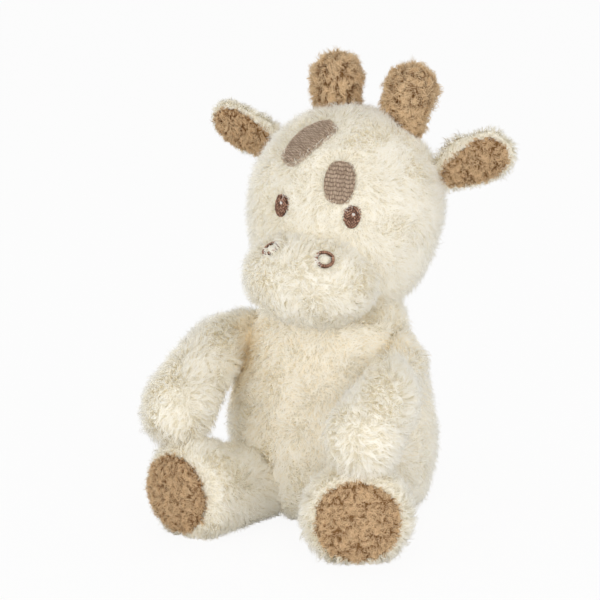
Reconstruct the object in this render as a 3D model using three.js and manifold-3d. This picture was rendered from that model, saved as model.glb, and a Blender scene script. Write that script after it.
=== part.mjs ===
// A sitting plush giraffe with a battery night light in a pocket of its belly.
// Millimetres, +Z up. It faces -Y, its left side is +X, and it sits on the plane Z = 0.
// The soft pieces are the stuffed forms under the pile: the pile itself is left out.

import * as THREE from 'three';
import { mergeVertices } from 'three/addons/utils/BufferGeometryUtils.js';
import Module from 'manifold-3d';

const wasm = await Module();
wasm.setup();

// Clearances
const SEAM_GAP = 0.3;
const BALL_GAP = 0.4;
const ARM_ROOM = 0.95;
const RUNNING_GAP = 0.5;
const FLOOR_CUT = 0.5;

// Torso: a pear, given as half widths and half depths at heights above the floor
const TORSO_TOP = 128;
const SEAT_HEIGHT = 14;
const BELLY_HEIGHT = 40;
const RIB_HEIGHT = 80;
const COLLAR_HEIGHT = 104;
const SEAT_HALF_WIDTH = 50;
const BELLY_HALF_WIDTH = 54;
const RIB_HALF_WIDTH = 47;
const COLLAR_HALF_WIDTH = 39;
const NECK_HALF_WIDTH = 31;
const TORSO_DEPTH_RATIO = 0.88;
const NECK_CAP = 12;

// Head: an egg that leans and turns a little on the neck
const HEAD_X = 5;
const HEAD_Y = 4;
const HEAD_Z = 170;
const HEAD_HALF_WIDTH = 50;
const HEAD_HALF_DEPTH = 47;
const HEAD_HALF_HEIGHT = 51;
const HEAD_JOWL_DROP = 56;
const HEAD_JOWL_POWER = 2.3;
const HEAD_YAW = 4;
const HEAD_LEAN = 5;

// Muzzle
const MUZZLE_FORWARD = 41;
const MUZZLE_DROP = 32;
const MUZZLE_HALF_WIDTH = 33;
const MUZZLE_HALF_DEPTH = 30;
const MUZZLE_HALF_HEIGHT = 22.5;
const CHIN_ROOM = 3.4;

// Ears
const EAR_LENGTH = 42;
const EAR_HALF_WIDTH = 14;
const EAR_BACK_THICKNESS = 6;
const EAR_LINING_THICKNESS = 3;
const EAR_LINING_SHARE = 0.84;
const EAR_LINING_START = 5;
const EAR_ROOT_RADIUS = 8.5;
const EAR_BACKSET = 14;
const EAR_HEIGHT = 22;
const EAR_RISE_LEFT = 29;
const EAR_RISE_RIGHT = 22;
const EAR_TILT = 24;

// Ossicones, the two stub horns
const OSSICONE_HEIGHT = 33;
const OSSICONE_STALK = 10;
const OSSICONE_BULB = 12;
const OSSICONE_SPREAD = 18;
const OSSICONE_BACKSET = 16;
const OSSICONE_LEAN = 12;
const OSSICONE_SHIFT = 3;
const OSSICONE_ROOT = 8;

// Arms
const SHOULDER_X = 43;
const SHOULDER_Y = -3;
const SHOULDER_Z = 90;
const SHOULDER_RADIUS = 14.5;
const ARM_RADIUS = 14;
const HAND_RADIUS = 16.5;
const ELBOW_OUT = 15;
const ELBOW_FORWARD = 38;
const ELBOW_DROP = 5;
const HAND_OUT_LEFT = 11;
const HAND_OUT_RIGHT = 15;
const HAND_FORWARD_LEFT = 72;
const HAND_FORWARD_RIGHT = 68;
const HAND_DROP = 22;

// Legs
const HIP_X = 30;
const HIP_Y = -32;
const HIP_RADIUS = 20;
const LEG_SPLAY_LEFT = 25;
const LEG_SPLAY_RIGHT = 18;
const LEG_REACH = 62;
const LEG_HALF_WIDTH = 20;
const FOOT_HALF_WIDTH = 26.5;
const FOOT_HALF_HEIGHT = 25;
const SOLE_ROUNDING = 9;
const PAD_HALF_WIDTH = 22.5;
const PAD_HALF_HEIGHT = 21;
const PAD_THICKNESS = 3.2;
const SOLE_TRIM = 1.4;

// Tail
const TAIL_ROOT_HEIGHT = 15;
const TAIL_RADIUS = 4.8;
const TAIL_LENGTH = 34;
const TUFT_RADIUS = 7;
const TUFT_LENGTH = 20;

// Embroidery
const STITCH_THICKNESS = 1.1;
const EYE_SPREAD = 20;
const EYE_HEIGHT = 3.5;
const EYE_HALF_WIDTH = 4.2;
const EYE_HALF_HEIGHT = 6;
const NOSTRIL_SPREAD = 15.5;
const NOSTRIL_RISE = 14.5;
const NOSTRIL_SHIFT = -2;
const NOSTRIL_HALF_WIDTH = 5.2;
const NOSTRIL_HALF_HEIGHT = 5.4;
const NOSTRIL_THREAD = 1.6;
const PATCH_TALL_HALF_LENGTH = 16;
const PATCH_TALL_HALF_WIDTH = 8.6;
const PATCH_SMALL_HALF_LENGTH = 11.4;
const PATCH_SMALL_HALF_WIDTH = 8.2;
const PATCH_TALL_ACROSS = -14.5;
const PATCH_TALL_UP = 38;
const PATCH_SMALL_ACROSS = 11;
const PATCH_SMALL_UP = 20.5;

// Pocket in the back, its lining and its flap
const LINING_THICKNESS = 0.8;
const FLAP_THICKNESS = 3;
const TAPE_THICKNESS = 0.9;
const TAPE_WIDTH = 46;
const TAPE_HEIGHT = 7.5;
const FLAP_HALF_WIDTH = 34;
const FLAP_ABOVE = 38;
const FLAP_BELOW = 43;
const FLAP_CORNER = 14;
const FLAP_EDGE_GAP = 0.6;

// Light unit: a round lamp, its axis along Y, with its dome towards the belly
const UNIT_Z = 67;
const UNIT_WALL = 1.8;
const UNIT_REAR_Y = 12;
const UNIT_BODY_DEPTH = 22;
const DOME_HEIGHT = 24;
const DOME_WALL = 1.6;
const BEZEL_HEIGHT = 4;
const BATTERY_RADIUS = 5.25;
const BATTERY_LENGTH = 44.5;
const UNIT_RIM = 7.75;
const UNIT_RADIUS = BATTERY_LENGTH / 2 + UNIT_RIM;
const BATTERY_PITCH = 10.9;
const BATTERY_NUB_RADIUS = 1.9;
const BATTERY_NUB_HEIGHT = 0.8;
const BAY_DEPTH = 11.3;
const BAY_SIDE_GAP = 0.5;
const BAY_END_GAP = 1;
const CONTACT_THICKNESS = 0.5;
const DOOR_THICKNESS = 1.8;
const DOOR_LEDGE = 1.1;
const DOOR_TAB_HALF_WIDTH = 4.4;
const DOOR_TAB_REACH = 4;
const SCREW_HEAD_RADIUS = 1.7;
const SCREW_HEAD_HEIGHT = 1;
const SCREW_SHAFT_RADIUS = 0.9;
const SCREW_LENGTH = 6;
const BOARD_THICKNESS = 1.6;
const BOARD_RADIUS = 27.2;
const LED_RADIUS = 2.5;
const LED_HEIGHT = 6;
const LED_CIRCLE = 11;
const CONTROL_OFFSET = 23.6;
const CONTROL_POCKET = 5;
const BUTTON_RADIUS = 3.5;
const BUTTON_HEIGHT = 3.4;
const BUTTON_PROUD = 1.2;
const BUTTON_TRAVEL = 1;
const KNOB_LENGTH = 4.4;
const KNOB_WIDTH = 3.6;
const KNOB_TRAVEL = 3;
const KNOB_PROUD = 0.9;

// Facets
const SOFT_SIDES = 28;
const LIMB_SIDES = 16;
const ROUND_SIDES = 32;
const SMALL_SIDES = 14;
const POCKET_SIDES = 28;
const LEAF_SIDES = 12;

// Colours and surfaces
const look = (color, roughness, extra = {}) =>
  new THREE.MeshStandardMaterial({ color, roughness, metalness: 0, ...extra });
const CREAM = look(0xf1ead6, 0.95);
const BROWN = look(0xaf8c64, 0.95);
const PATCH = look(0xa08873, 0.8);
const THREAD = look(0x643c2d, 0.7);
const TAPE = look(0xe6dfcc, 0.9);
const LINING = look(0xf4efe2, 0.9);
const SHELL = look(0xf2f2ee, 0.45);
const DIFFUSER = look(0xfff1d8, 0.35, { emissive: 0xffb060, emissiveIntensity: 0.6 });
const BOARD = look(0x2f6b46, 0.5);
const LED = look(0xffe2a8, 0.2, { emissive: 0xffb860, emissiveIntensity: 1 });
const CELL = look(0x3a3d42, 0.35);
const STEEL = look(0xb9bcc0, 0.3, { metalness: 1 });
const CONTROL = look(0xc9b9a4, 0.5);

const radians = THREE.MathUtils.degToRad;
const vec = (x, y, z) => new THREE.Vector3(x, y, z);

// A closed geometry turned into a solid for cutting: position only, shared corners merged.
function toSolid(geometry) {
  const bare = new THREE.BufferGeometry();
  bare.setAttribute('position', geometry.getAttribute('position').clone());
  if (geometry.index) {
    bare.setIndex(geometry.index.clone());
  }
  const merged = mergeVertices(bare, 1e-4);
  const corners = [];
  const index = merged.index.array;
  for (let i = 0; i < index.length; i += 3) {
    const [a, b, c] = [index[i], index[i + 1], index[i + 2]];
    if (a !== b && b !== c && c !== a) {
      corners.push(a, b, c);
    }
  }
  return new wasm.Manifold(new wasm.Mesh({
    numProp: 3,
    vertProperties: new Float32Array(merged.getAttribute('position').array),
    triVerts: new Uint32Array(corners),
  }));
}

function toGeometry(solid) {
  const mesh = solid.getMesh();
  const geometry = new THREE.BufferGeometry();
  geometry.setAttribute('position', new THREE.BufferAttribute(mesh.vertProperties, 3));
  geometry.setIndex(new THREE.BufferAttribute(mesh.triVerts, 1));
  const faceted = geometry.toNonIndexed();
  faceted.computeVertexNormals();
  return faceted;
}

// Joins a row of rings, the first and last of them single points, into a closed skin.
function skinRings(rings) {
  const sides = rings[1].length;
  const positions = [];
  const index = [];
  const starts = [];
  for (const ring of rings) {
    starts.push(positions.length / 3);
    for (const p of ring) {
      positions.push(p.x, p.y, p.z);
    }
  }
  const last = rings.length - 1;
  for (let j = 0; j < sides; j += 1) {
    const k = (j + 1) % sides;
    index.push(starts[0], starts[1] + k, starts[1] + j);
    index.push(starts[last], starts[last - 1] + j, starts[last - 1] + k);
    for (let i = 1; i < last - 1; i += 1) {
      const [a, b] = [starts[i], starts[i + 1]];
      index.push(a + j, a + k, b + k);
      index.push(a + j, b + k, b + j);
    }
  }
  const geometry = new THREE.BufferGeometry();
  geometry.setAttribute('position', new THREE.Float32BufferAttribute(positions, 3));
  geometry.setIndex(index);
  return geometry;
}

// Stations along a stuffed form of some length: rounded ends of the given depths,
// as [distance, share of the full section]. A higher power makes a flatter end.
function stations(length, startCap, endCap, middle, power = 2, rows = 5, startPower = power) {
  const list = [[0, 0]];
  const capShare = (i, p) => Math.sin((i / rows) * Math.PI / 2) ** (2 / p);
  const capDepth = (i, p) => 1 - Math.cos((i / rows) * Math.PI / 2) ** (2 / p);
  for (let i = 1; i <= rows; i += 1) {
    list.push([startCap * capDepth(i, startPower), capShare(i, startPower)]);
  }
  for (let i = 1; i < middle; i += 1) {
    list.push([startCap + (length - startCap - endCap) * (i / middle), 1]);
  }
  for (let i = rows; i >= 1; i -= 1) {
    list.push([length - endCap * capDepth(i, power), capShare(i, power)]);
  }
  list.push([length, 0]);
  return list;
}

// A stuffed form: elliptical sections of half sizes wide(s) and deep(s) along a line.
// place(s) gives the centre, along(s) the direction, and up the side that deep points to.
function stuffed({ list, place, along, up, wide, deep, sides, grow = 0, square = 2 }) {
  const rings = list.map(([s, share], row) => {
    const centre = place(s);
    const direction = along(s).clone().normalize();
    const v = up.clone().addScaledVector(direction, -up.dot(direction)).normalize();
    const u = vec(0, 0, 0).crossVectors(v, direction);
    if (share === 0) {
      return [centre.clone().addScaledVector(direction, row === 0 ? -grow : grow)];
    }
    const ring = [];
    for (let j = 0; j < sides; j += 1) {
      const turn = (j / sides) * 2 * Math.PI;
      const [c, n] = [Math.cos(turn), Math.sin(turn)];
      const bulge = (Math.abs(c) ** square + Math.abs(n) ** square) ** (-1 / square);
      ring.push(centre.clone()
        .addScaledVector(u, c * bulge * (wide(s) * share + grow))
        .addScaledVector(v, n * bulge * (deep(s) * share + grow)));
    }
    return ring;
  });
  return skinRings(rings);
}

// A smooth curve of values through [distance, value] pairs.
function through(pairs) {
  const curve = new THREE.SplineCurve(pairs.map(([s, value]) => new THREE.Vector2(s, value)));
  const points = curve.getPoints(pairs.length * 16);
  return (s) => {
    let i = 1;
    while (i < points.length - 1 && points[i].x < s) {
      i += 1;
    }
    const [a, b] = [points[i - 1], points[i]];
    const t = THREE.MathUtils.clamp((s - a.x) / (b.x - a.x), 0, 1);
    return a.y + (b.y - a.y) * t;
  };
}

// An egg with its poles on Z. Its lower half has a depth and a fullness of its own.
function egg({ halfWidth, halfDepth, top, bottom = top, fullness = 2, sides, rows, square = 2 }) {
  return stuffed({
    list: stations(bottom + top, bottom, top, 1, 2, rows, fullness),
    place: (s) => vec(0, 0, s - bottom),
    along: () => vec(0, 0, 1),
    up: vec(0, 1, 0),
    wide: () => halfWidth,
    deep: () => halfDepth,
    sides,
    square,
  });
}

// A solid of revolution about Y, from [radius, y] pairs that start and end on the axis.
function turned(pairs, sides = ROUND_SIDES) {
  return new THREE.LatheGeometry(pairs.map(([r, y]) => new THREE.Vector2(r, y)), sides);
}

function cylinderY(radius, y0, y1, sides = ROUND_SIDES) {
  return turned([[0, y0], [radius, y0], [radius, y1], [0, y1]], sides);
}

// A ball whose flats all stay outside its radius, for sockets that another ball turns in.
function ballRoom(radius, sides, rows) {
  const flat = Math.cos(Math.PI / sides) * Math.cos(Math.PI / (2 * rows));
  return new THREE.SphereGeometry(radius / flat, sides, rows).rotateX(Math.PI / 2);
}

function boxBetween(low, high) {
  const size = high.clone().sub(low);
  const centre = high.clone().add(low).multiplyScalar(0.5);
  return new THREE.BoxGeometry(size.x, size.y, size.z).translate(centre.x, centre.y, centre.z);
}

// A rounded rectangle in X and Z, extruded along Y.
function plateY(x0, x1, z0, z1, corner, y0, y1, steps = 4) {
  const shape = new THREE.Shape();
  shape.moveTo(x0 + corner, z0);
  shape.lineTo(x1 - corner, z0);
  shape.absarc(x1 - corner, z0 + corner, corner, -Math.PI / 2, 0);
  shape.lineTo(x1, z1 - corner);
  shape.absarc(x1 - corner, z1 - corner, corner, 0, Math.PI / 2);
  shape.lineTo(x0 + corner, z1);
  shape.absarc(x0 + corner, z1 - corner, corner, Math.PI / 2, Math.PI);
  shape.lineTo(x0, z0 + corner);
  shape.absarc(x0 + corner, z0 + corner, corner, Math.PI, 1.5 * Math.PI);
  const plate = new THREE.ExtrudeGeometry(shape, {
    depth: y1 - y0, bevelEnabled: false, curveSegments: steps,
  });
  return plate.rotateX(Math.PI / 2).translate(0, y1, 0);
}

const parts = new THREE.Group();

function addMesh(parent, name, geometry, material) {
  const mesh = new THREE.Mesh(geometry, material.clone());
  mesh.name = name;
  parent.add(mesh);
  return mesh;
}

function group(parent, name, x, y, z) {
  const made = new THREE.Group();
  made.name = name;
  made.position.set(x, y, z);
  parent.add(made);
  return made;
}

const belowFloor = toSolid(boxBetween(vec(-200, -200, -20), vec(200, 200, 0)));

// Torso form

const torsoWidth = through([
  [-FLOOR_CUT, SEAT_HALF_WIDTH],
  [SEAT_HEIGHT, SEAT_HALF_WIDTH],
  [BELLY_HEIGHT, BELLY_HALF_WIDTH],
  [RIB_HEIGHT, RIB_HALF_WIDTH],
  [COLLAR_HEIGHT, COLLAR_HALF_WIDTH],
  [TORSO_TOP, NECK_HALF_WIDTH],
]);

function torsoForm(grow = 0) {
  return toSolid(stuffed({
    list: stations(TORSO_TOP + FLOOR_CUT, SEAT_HEIGHT, NECK_CAP, 10, 2.6),
    place: (s) => vec(0, 0, s - FLOOR_CUT),
    along: () => vec(0, 0, 1),
    up: vec(0, 1, 0),
    wide: (s) => torsoWidth(s - FLOOR_CUT),
    deep: (s) => TORSO_DEPTH_RATIO * torsoWidth(s - FLOOR_CUT),
    sides: SOFT_SIDES,
    grow,
    square: 2.15,
  }));
}

// Head form, in the head's own frame about its centre

const headTurn = new THREE.Euler(0, radians(HEAD_LEAN), radians(HEAD_YAW), 'ZYX');
const headPlace = new THREE.Matrix4().makeRotationFromEuler(headTurn)
  .setPosition(HEAD_X, HEAD_Y, HEAD_Z);

const skull = (grow = 0) => toSolid(egg({
  halfWidth: HEAD_HALF_WIDTH + grow,
  halfDepth: HEAD_HALF_DEPTH + grow,
  top: HEAD_HALF_HEIGHT + grow,
  bottom: HEAD_JOWL_DROP + grow,
  fullness: HEAD_JOWL_POWER,
  sides: SOFT_SIDES,
  rows: 10,
}));

const muzzleForm = (grow = 0) => toSolid(egg({
  halfWidth: MUZZLE_HALF_WIDTH + grow,
  halfDepth: MUZZLE_HALF_DEPTH + grow,
  top: MUZZLE_HALF_HEIGHT + grow,
  sides: 22,
  rows: 6,
  square: 2.3,
}).translate(0, -MUZZLE_FORWARD, -MUZZLE_DROP));

const skullX = (y, z) => HEAD_HALF_WIDTH
  * Math.sqrt(1 - (y / HEAD_HALF_DEPTH) ** 2 - (z / HEAD_HALF_HEIGHT) ** 2);
const skullZ = (x, y) => HEAD_HALF_HEIGHT
  * Math.sqrt(1 - (x / HEAD_HALF_WIDTH) ** 2 - (y / HEAD_HALF_DEPTH) ** 2);

const head = group(parts, 'head_group', HEAD_X, HEAD_Y, HEAD_Z);
head.setRotationFromEuler(headTurn);
addMesh(head, 'head', toGeometry(skull()), CREAM);
addMesh(head, 'muzzle', toGeometry(muzzleForm().subtract(skull(SEAM_GAP))), CREAM);

// Embroidery: slices of the skin a little above it, cut out by an outline

// An oval bar standing on the skin at a point: outward, with its long side towards lift.
function ovalBar(at, lift, halfWidth, halfLength, reach) {
  const shape = new THREE.Shape();
  shape.absellipse(0, 0, halfWidth, halfLength, 0, 2 * Math.PI);
  const bar = new THREE.ExtrudeGeometry(shape, {
    depth: 2 * reach, bevelEnabled: false, curveSegments: 10,
  }).translate(0, 0, -reach);
  const out = at.outward.clone().normalize();
  const high = lift.clone().addScaledVector(out, -lift.dot(out)).normalize();
  const side = vec(0, 0, 0).crossVectors(high, out);
  const frame = new THREE.Matrix4().makeBasis(side, high, out).setPosition(at.point);
  return toSolid(bar.applyMatrix4(frame));
}

const skinSlice = (form) => form(SEAM_GAP + STITCH_THICKNESS).subtract(form(SEAM_GAP));
const skullSlice = skinSlice(skull);
const muzzleSlice = skinSlice(muzzleForm).subtract(skull(SEAM_GAP));

const onSkull = (x, z) => {
  const y = -HEAD_HALF_DEPTH
    * Math.sqrt(1 - (x / HEAD_HALF_WIDTH) ** 2 - (z / HEAD_HALF_HEIGHT) ** 2);
  return {
    point: vec(x, y, z),
    outward: vec(x / HEAD_HALF_WIDTH ** 2, y / HEAD_HALF_DEPTH ** 2, z / HEAD_HALF_HEIGHT ** 2),
  };
};

const onMuzzle = (x, z) => {
  const y = -MUZZLE_HALF_DEPTH
    * Math.sqrt(1 - (x / MUZZLE_HALF_WIDTH) ** 2 - (z / MUZZLE_HALF_HEIGHT) ** 2);
  return {
    point: vec(x, y - MUZZLE_FORWARD, z - MUZZLE_DROP),
    outward: vec(
      x / MUZZLE_HALF_WIDTH ** 2, y / MUZZLE_HALF_DEPTH ** 2, z / MUZZLE_HALF_HEIGHT ** 2,
    ),
  };
};

for (const [hand, side] of [['left', 1], ['right', -1]]) {
  const eye = ovalBar(
    onSkull(side * EYE_SPREAD, EYE_HEIGHT), vec(0, 0, 1), EYE_HALF_WIDTH, EYE_HALF_HEIGHT, 8,
  );
  addMesh(head, `eye_${hand}`, toGeometry(skullSlice.intersect(eye)), THREAD);
  const seat = onMuzzle(side * NOSTRIL_SPREAD + NOSTRIL_SHIFT, NOSTRIL_RISE);
  const rim = ovalBar(seat, vec(0, 0, 1), NOSTRIL_HALF_WIDTH, NOSTRIL_HALF_HEIGHT, 6);
  const eyelet = ovalBar(
    seat, vec(0, 0, 1), NOSTRIL_HALF_WIDTH - NOSTRIL_THREAD, NOSTRIL_HALF_HEIGHT - NOSTRIL_THREAD, 8,
  );
  addMesh(head, `nostril_${hand}`, toGeometry(muzzleSlice.intersect(rim).subtract(eyelet)), THREAD);
}

const patchRight = ovalBar(
  onSkull(PATCH_TALL_ACROSS, PATCH_TALL_UP), vec(0.557, 0.506, 0.658),
  PATCH_TALL_HALF_WIDTH, PATCH_TALL_HALF_LENGTH, 9,
);
addMesh(head, 'patch_right', toGeometry(skullSlice.intersect(patchRight)), PATCH);
const patchLeft = ovalBar(
  onSkull(PATCH_SMALL_ACROSS, PATCH_SMALL_UP), vec(-0.073, 0.196, 0.978),
  PATCH_SMALL_HALF_WIDTH, PATCH_SMALL_HALF_LENGTH, 9,
);
addMesh(head, 'patch_left', toGeometry(skullSlice.intersect(patchLeft)), PATCH);

// Ossicones: a stalk with a soft knob, sewn to the crown

for (const [hand, side] of [['left', 1], ['right', -1]]) {
  const crown = skullZ(OSSICONE_SPREAD, OSSICONE_BACKSET);
  const root = vec(side * OSSICONE_SPREAD + OSSICONE_SHIFT, OSSICONE_BACKSET, crown);
  const lean = radians(OSSICONE_LEAN);
  const direction = vec(side * Math.sin(lean), 0, Math.cos(lean));
  const radius = through([
    [0, OSSICONE_STALK],
    [OSSICONE_ROOT + OSSICONE_HEIGHT * 0.3, OSSICONE_STALK],
    [OSSICONE_ROOT + OSSICONE_HEIGHT * 0.7, OSSICONE_BULB],
    [OSSICONE_ROOT + OSSICONE_HEIGHT, OSSICONE_BULB * 0.96],
  ]);
  const form = toSolid(stuffed({
    list: stations(OSSICONE_ROOT + OSSICONE_HEIGHT, 2, OSSICONE_BULB, 5, 2, 4),
    place: (s) => root.clone().addScaledVector(direction, s - OSSICONE_ROOT),
    along: () => direction,
    up: vec(0, 1, 0),
    wide: radius,
    deep: radius,
    sides: SMALL_SIDES,
  }));
  addMesh(head, `ossicone_${hand}`, toGeometry(form.subtract(skull(SEAM_GAP))), BROWN);
}

// Ears: a padded back and a thinner lining, sewn round their edge

for (const [hand, side] of [['left', 1], ['right', -1]]) {
  const rootX = skullX(EAR_BACKSET, EAR_HEIGHT) + EAR_ROOT_RADIUS + RUNNING_GAP;
  const ear = group(head, `ear_${hand}_group`, side * rootX, EAR_BACKSET, EAR_HEIGHT);
  const rise = radians(side > 0 ? EAR_RISE_LEFT : EAR_RISE_RIGHT);
  const direction = vec(side * Math.cos(rise), 0, Math.sin(rise));
  const across = vec(-side * Math.sin(rise), 0, Math.cos(rise));
  const tilt = radians(EAR_TILT);
  const front = vec(0, -1, 0).multiplyScalar(Math.cos(tilt)).addScaledVector(across, -Math.sin(tilt));
  const full = EAR_LENGTH + EAR_ROOT_RADIUS;
  const halfWidth = through([
    [0, EAR_ROOT_RADIUS],
    [EAR_ROOT_RADIUS, EAR_ROOT_RADIUS],
    [full * 0.58, EAR_HALF_WIDTH],
    [full * 0.8, EAR_HALF_WIDTH * 0.9],
    [full, EAR_HALF_WIDTH * 0.62],
  ]);
  const leaf = (share, thickness, start) => toSolid(stuffed({
    list: stations(full - start - (1 - share) * 14, EAR_ROOT_RADIUS, 9, 5, 2, 3),
    place: (s) => direction.clone().multiplyScalar(s + start - EAR_ROOT_RADIUS),
    along: () => direction,
    up: front,
    wide: (s) => halfWidth(s + start) * share,
    deep: (s) => Math.min(thickness, halfWidth(s + start)),
    sides: LEAF_SIDES,
  }));
  const basis = new THREE.Matrix4().makeBasis(
    direction, vec(0, 0, 0).crossVectors(front, direction), front,
  );
  const faceFront = toSolid(boxBetween(vec(-40, -60, SEAM_GAP / 2), vec(90, 60, 40))
    .applyMatrix4(basis));
  const faceBack = toSolid(boxBetween(vec(-40, -60, -40), vec(90, 60, -SEAM_GAP / 2))
    .applyMatrix4(basis));
  addMesh(
    ear, `ear_back_${hand}`,
    toGeometry(leaf(1, EAR_BACK_THICKNESS, 0).intersect(faceBack)), CREAM,
  );
  addMesh(
    ear, `ear_lining_${hand}`,
    toGeometry(leaf(EAR_LINING_SHARE, EAR_LINING_THICKNESS, EAR_LINING_START).intersect(faceFront)), BROWN,
  );
}

// Arms

function armForm(side, grow = 0) {
  const shoulder = vec(side * SHOULDER_X, SHOULDER_Y, SHOULDER_Z);
  const reach = side > 0
    ? vec(HAND_OUT_LEFT, -HAND_FORWARD_LEFT, -HAND_DROP)
    : vec(-HAND_OUT_RIGHT, -HAND_FORWARD_RIGHT, -HAND_DROP);
  const hand = shoulder.clone().add(reach);
  const elbow = shoulder.clone().add(vec(side * ELBOW_OUT, -ELBOW_FORWARD, -ELBOW_DROP));
  const tip = hand.clone().sub(elbow).normalize().multiplyScalar(HAND_RADIUS).add(hand);
  const curve = new THREE.CatmullRomCurve3([
    shoulder.clone().add(vec(-side * SHOULDER_RADIUS, 0, 0)),
    shoulder,
    shoulder.clone().add(vec(side * SHOULDER_RADIUS, -0.4 * SHOULDER_RADIUS, 0)),
    elbow,
    hand,
    tip,
  ], false, 'centripetal');
  const length = curve.getLength();
  const radius = through([
    [0, SHOULDER_RADIUS],
    [2 * SHOULDER_RADIUS, ARM_RADIUS],
    [length * 0.6, ARM_RADIUS],
    [length - HAND_RADIUS, HAND_RADIUS],
    [length, HAND_RADIUS],
  ]);
  return toSolid(stuffed({
    list: stations(length, SHOULDER_RADIUS, HAND_RADIUS, 8, 2, 4),
    place: (s) => curve.getPointAt(THREE.MathUtils.clamp(s / length, 0, 1)),
    along: (s) => curve.getTangentAt(THREE.MathUtils.clamp(s / length, 0, 1)),
    up: vec(0, 0, 1),
    wide: radius,
    deep: radius,
    sides: LIMB_SIDES,
    grow,
  }));
}

// Legs

function legFrame(side) {
  const splay = radians(side > 0 ? LEG_SPLAY_LEFT : LEG_SPLAY_RIGHT);
  return {
    hip: vec(side * HIP_X, HIP_Y, 0),
    forward: vec(side * Math.sin(splay), -Math.cos(splay), 0),
    length: HIP_RADIUS + LEG_REACH,
  };
}

function legForm(side) {
  const { hip, forward, length } = legFrame(side);
  const halfWidth = through([
    [0, HIP_RADIUS],
    [HIP_RADIUS, HIP_RADIUS],
    [1.45 * HIP_RADIUS, LEG_HALF_WIDTH * 0.93],
    [length * 0.62, LEG_HALF_WIDTH * 1.08],
    [length - SOLE_ROUNDING, FOOT_HALF_WIDTH],
    [length, FOOT_HALF_WIDTH],
  ]);
  const halfHeight = (s) => Math.min(halfWidth(s), FOOT_HALF_HEIGHT);
  return toSolid(stuffed({
    list: stations(length, HIP_RADIUS, SOLE_ROUNDING, 8, 2, 5)
      .map(([s, share]) => [s, s > length - SOLE_ROUNDING ? share ** 0.62 : share]),
    place: (s) => hip.clone().addScaledVector(forward, s - HIP_RADIUS)
      .setZ(halfHeight(s) - FLOOR_CUT),
    along: () => forward,
    up: vec(0, 0, 1),
    wide: halfWidth,
    deep: halfHeight,
    sides: LIMB_SIDES,
  }));
}

// Torso, cut by everything that sits in it

// The light unit's outline as [radius, y], grown by a clearance, dome first.
function unitOutline(grow, rearY) {
  const parting = UNIT_REAR_Y - UNIT_BODY_DEPTH;
  const radius = UNIT_RADIUS + grow;
  const shoulder = parting - BEZEL_HEIGHT;
  const apex = DOME_HEIGHT - BEZEL_HEIGHT + grow;
  const pairs = [];
  const steps = 5;
  for (let i = 0; i <= steps; i += 1) {
    const turn = (i / steps) * Math.PI / 2;
    pairs.push([radius * Math.sin(turn), shoulder - apex * Math.cos(turn)]);
  }
  pairs.push([radius, rearY], [0, rearY]);
  return turned(pairs, POCKET_SIDES).translate(0, 0, UNIT_Z);
}

const liningGap = RUNNING_GAP;
const pocketGrow = liningGap + LINING_THICKNESS + SEAM_GAP;
const tapeRoom = 2 * TAPE_THICKNESS + 2 * SEAM_GAP;
const recessDepth = FLAP_THICKNESS + tapeRoom + SEAM_GAP;
const torsoBack = TORSO_DEPTH_RATIO * BELLY_HALF_WIDTH;

// The flap's rounded outline, grown or shrunk, as a bar through the back.
const flapBar = (grow) => toSolid(plateY(
  -FLAP_HALF_WIDTH - grow, FLAP_HALF_WIDTH + grow,
  UNIT_Z - FLAP_BELOW - grow, UNIT_Z + FLAP_ABOVE + grow,
  FLAP_CORNER, SHOULDER_Y + SHOULDER_RADIUS + 3, torsoBack + 30,
));
const tapeBar = toSolid(plateY(
  -TAPE_WIDTH / 2, TAPE_WIDTH / 2,
  UNIT_Z - FLAP_BELOW + 2.2, UNIT_Z - FLAP_BELOW + 2.2 + TAPE_HEIGHT,
  2, 5, torsoBack + 30,
));
const torsoSlice = (outer, inner) => torsoForm(-outer).subtract(torsoForm(-inner));

// The head turns about its own leaning axis, so its seat is round about that axis.
const seatRadius = (Math.max(HEAD_HALF_WIDTH, HEAD_HALF_DEPTH) + SEAM_GAP)
  / Math.cos(Math.PI / SOFT_SIDES);
const headRoom = toSolid(egg({
  halfWidth: seatRadius,
  halfDepth: seatRadius,
  top: HEAD_HALF_HEIGHT + SEAM_GAP,
  bottom: HEAD_JOWL_DROP + SEAM_GAP,
  fullness: HEAD_JOWL_POWER,
  sides: SOFT_SIDES,
  rows: 10,
}).applyMatrix4(headPlace));

// The path of the muzzle as the head turns, in front of the neck only.
const chinProfile = [];
for (let i = 0; i <= 20; i += 1) {
  const turn = (i / 20) * 2 * Math.PI;
  chinProfile.push(new THREE.Vector2(
    MUZZLE_FORWARD + (MUZZLE_HALF_DEPTH + CHIN_ROOM) * Math.cos(turn),
    (MUZZLE_HALF_HEIGHT + CHIN_ROOM) * Math.sin(turn),
  ));
}
const chinRoom = toSolid(new THREE.LatheGeometry(chinProfile, 56)
  .rotateX(Math.PI / 2).translate(0, 0, -MUZZLE_DROP).applyMatrix4(headPlace))
  .intersect(toSolid(boxBetween(vec(-120, -140, 60), vec(120, HEAD_Y, 180))));

const tailRoot = vec(0, torsoBack - 3.5, TAIL_ROOT_HEIGHT);
const tailSocket = toSolid(ballRoom(TAIL_RADIUS + BALL_GAP, 12, 8)
  .translate(tailRoot.x, tailRoot.y, tailRoot.z));

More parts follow.
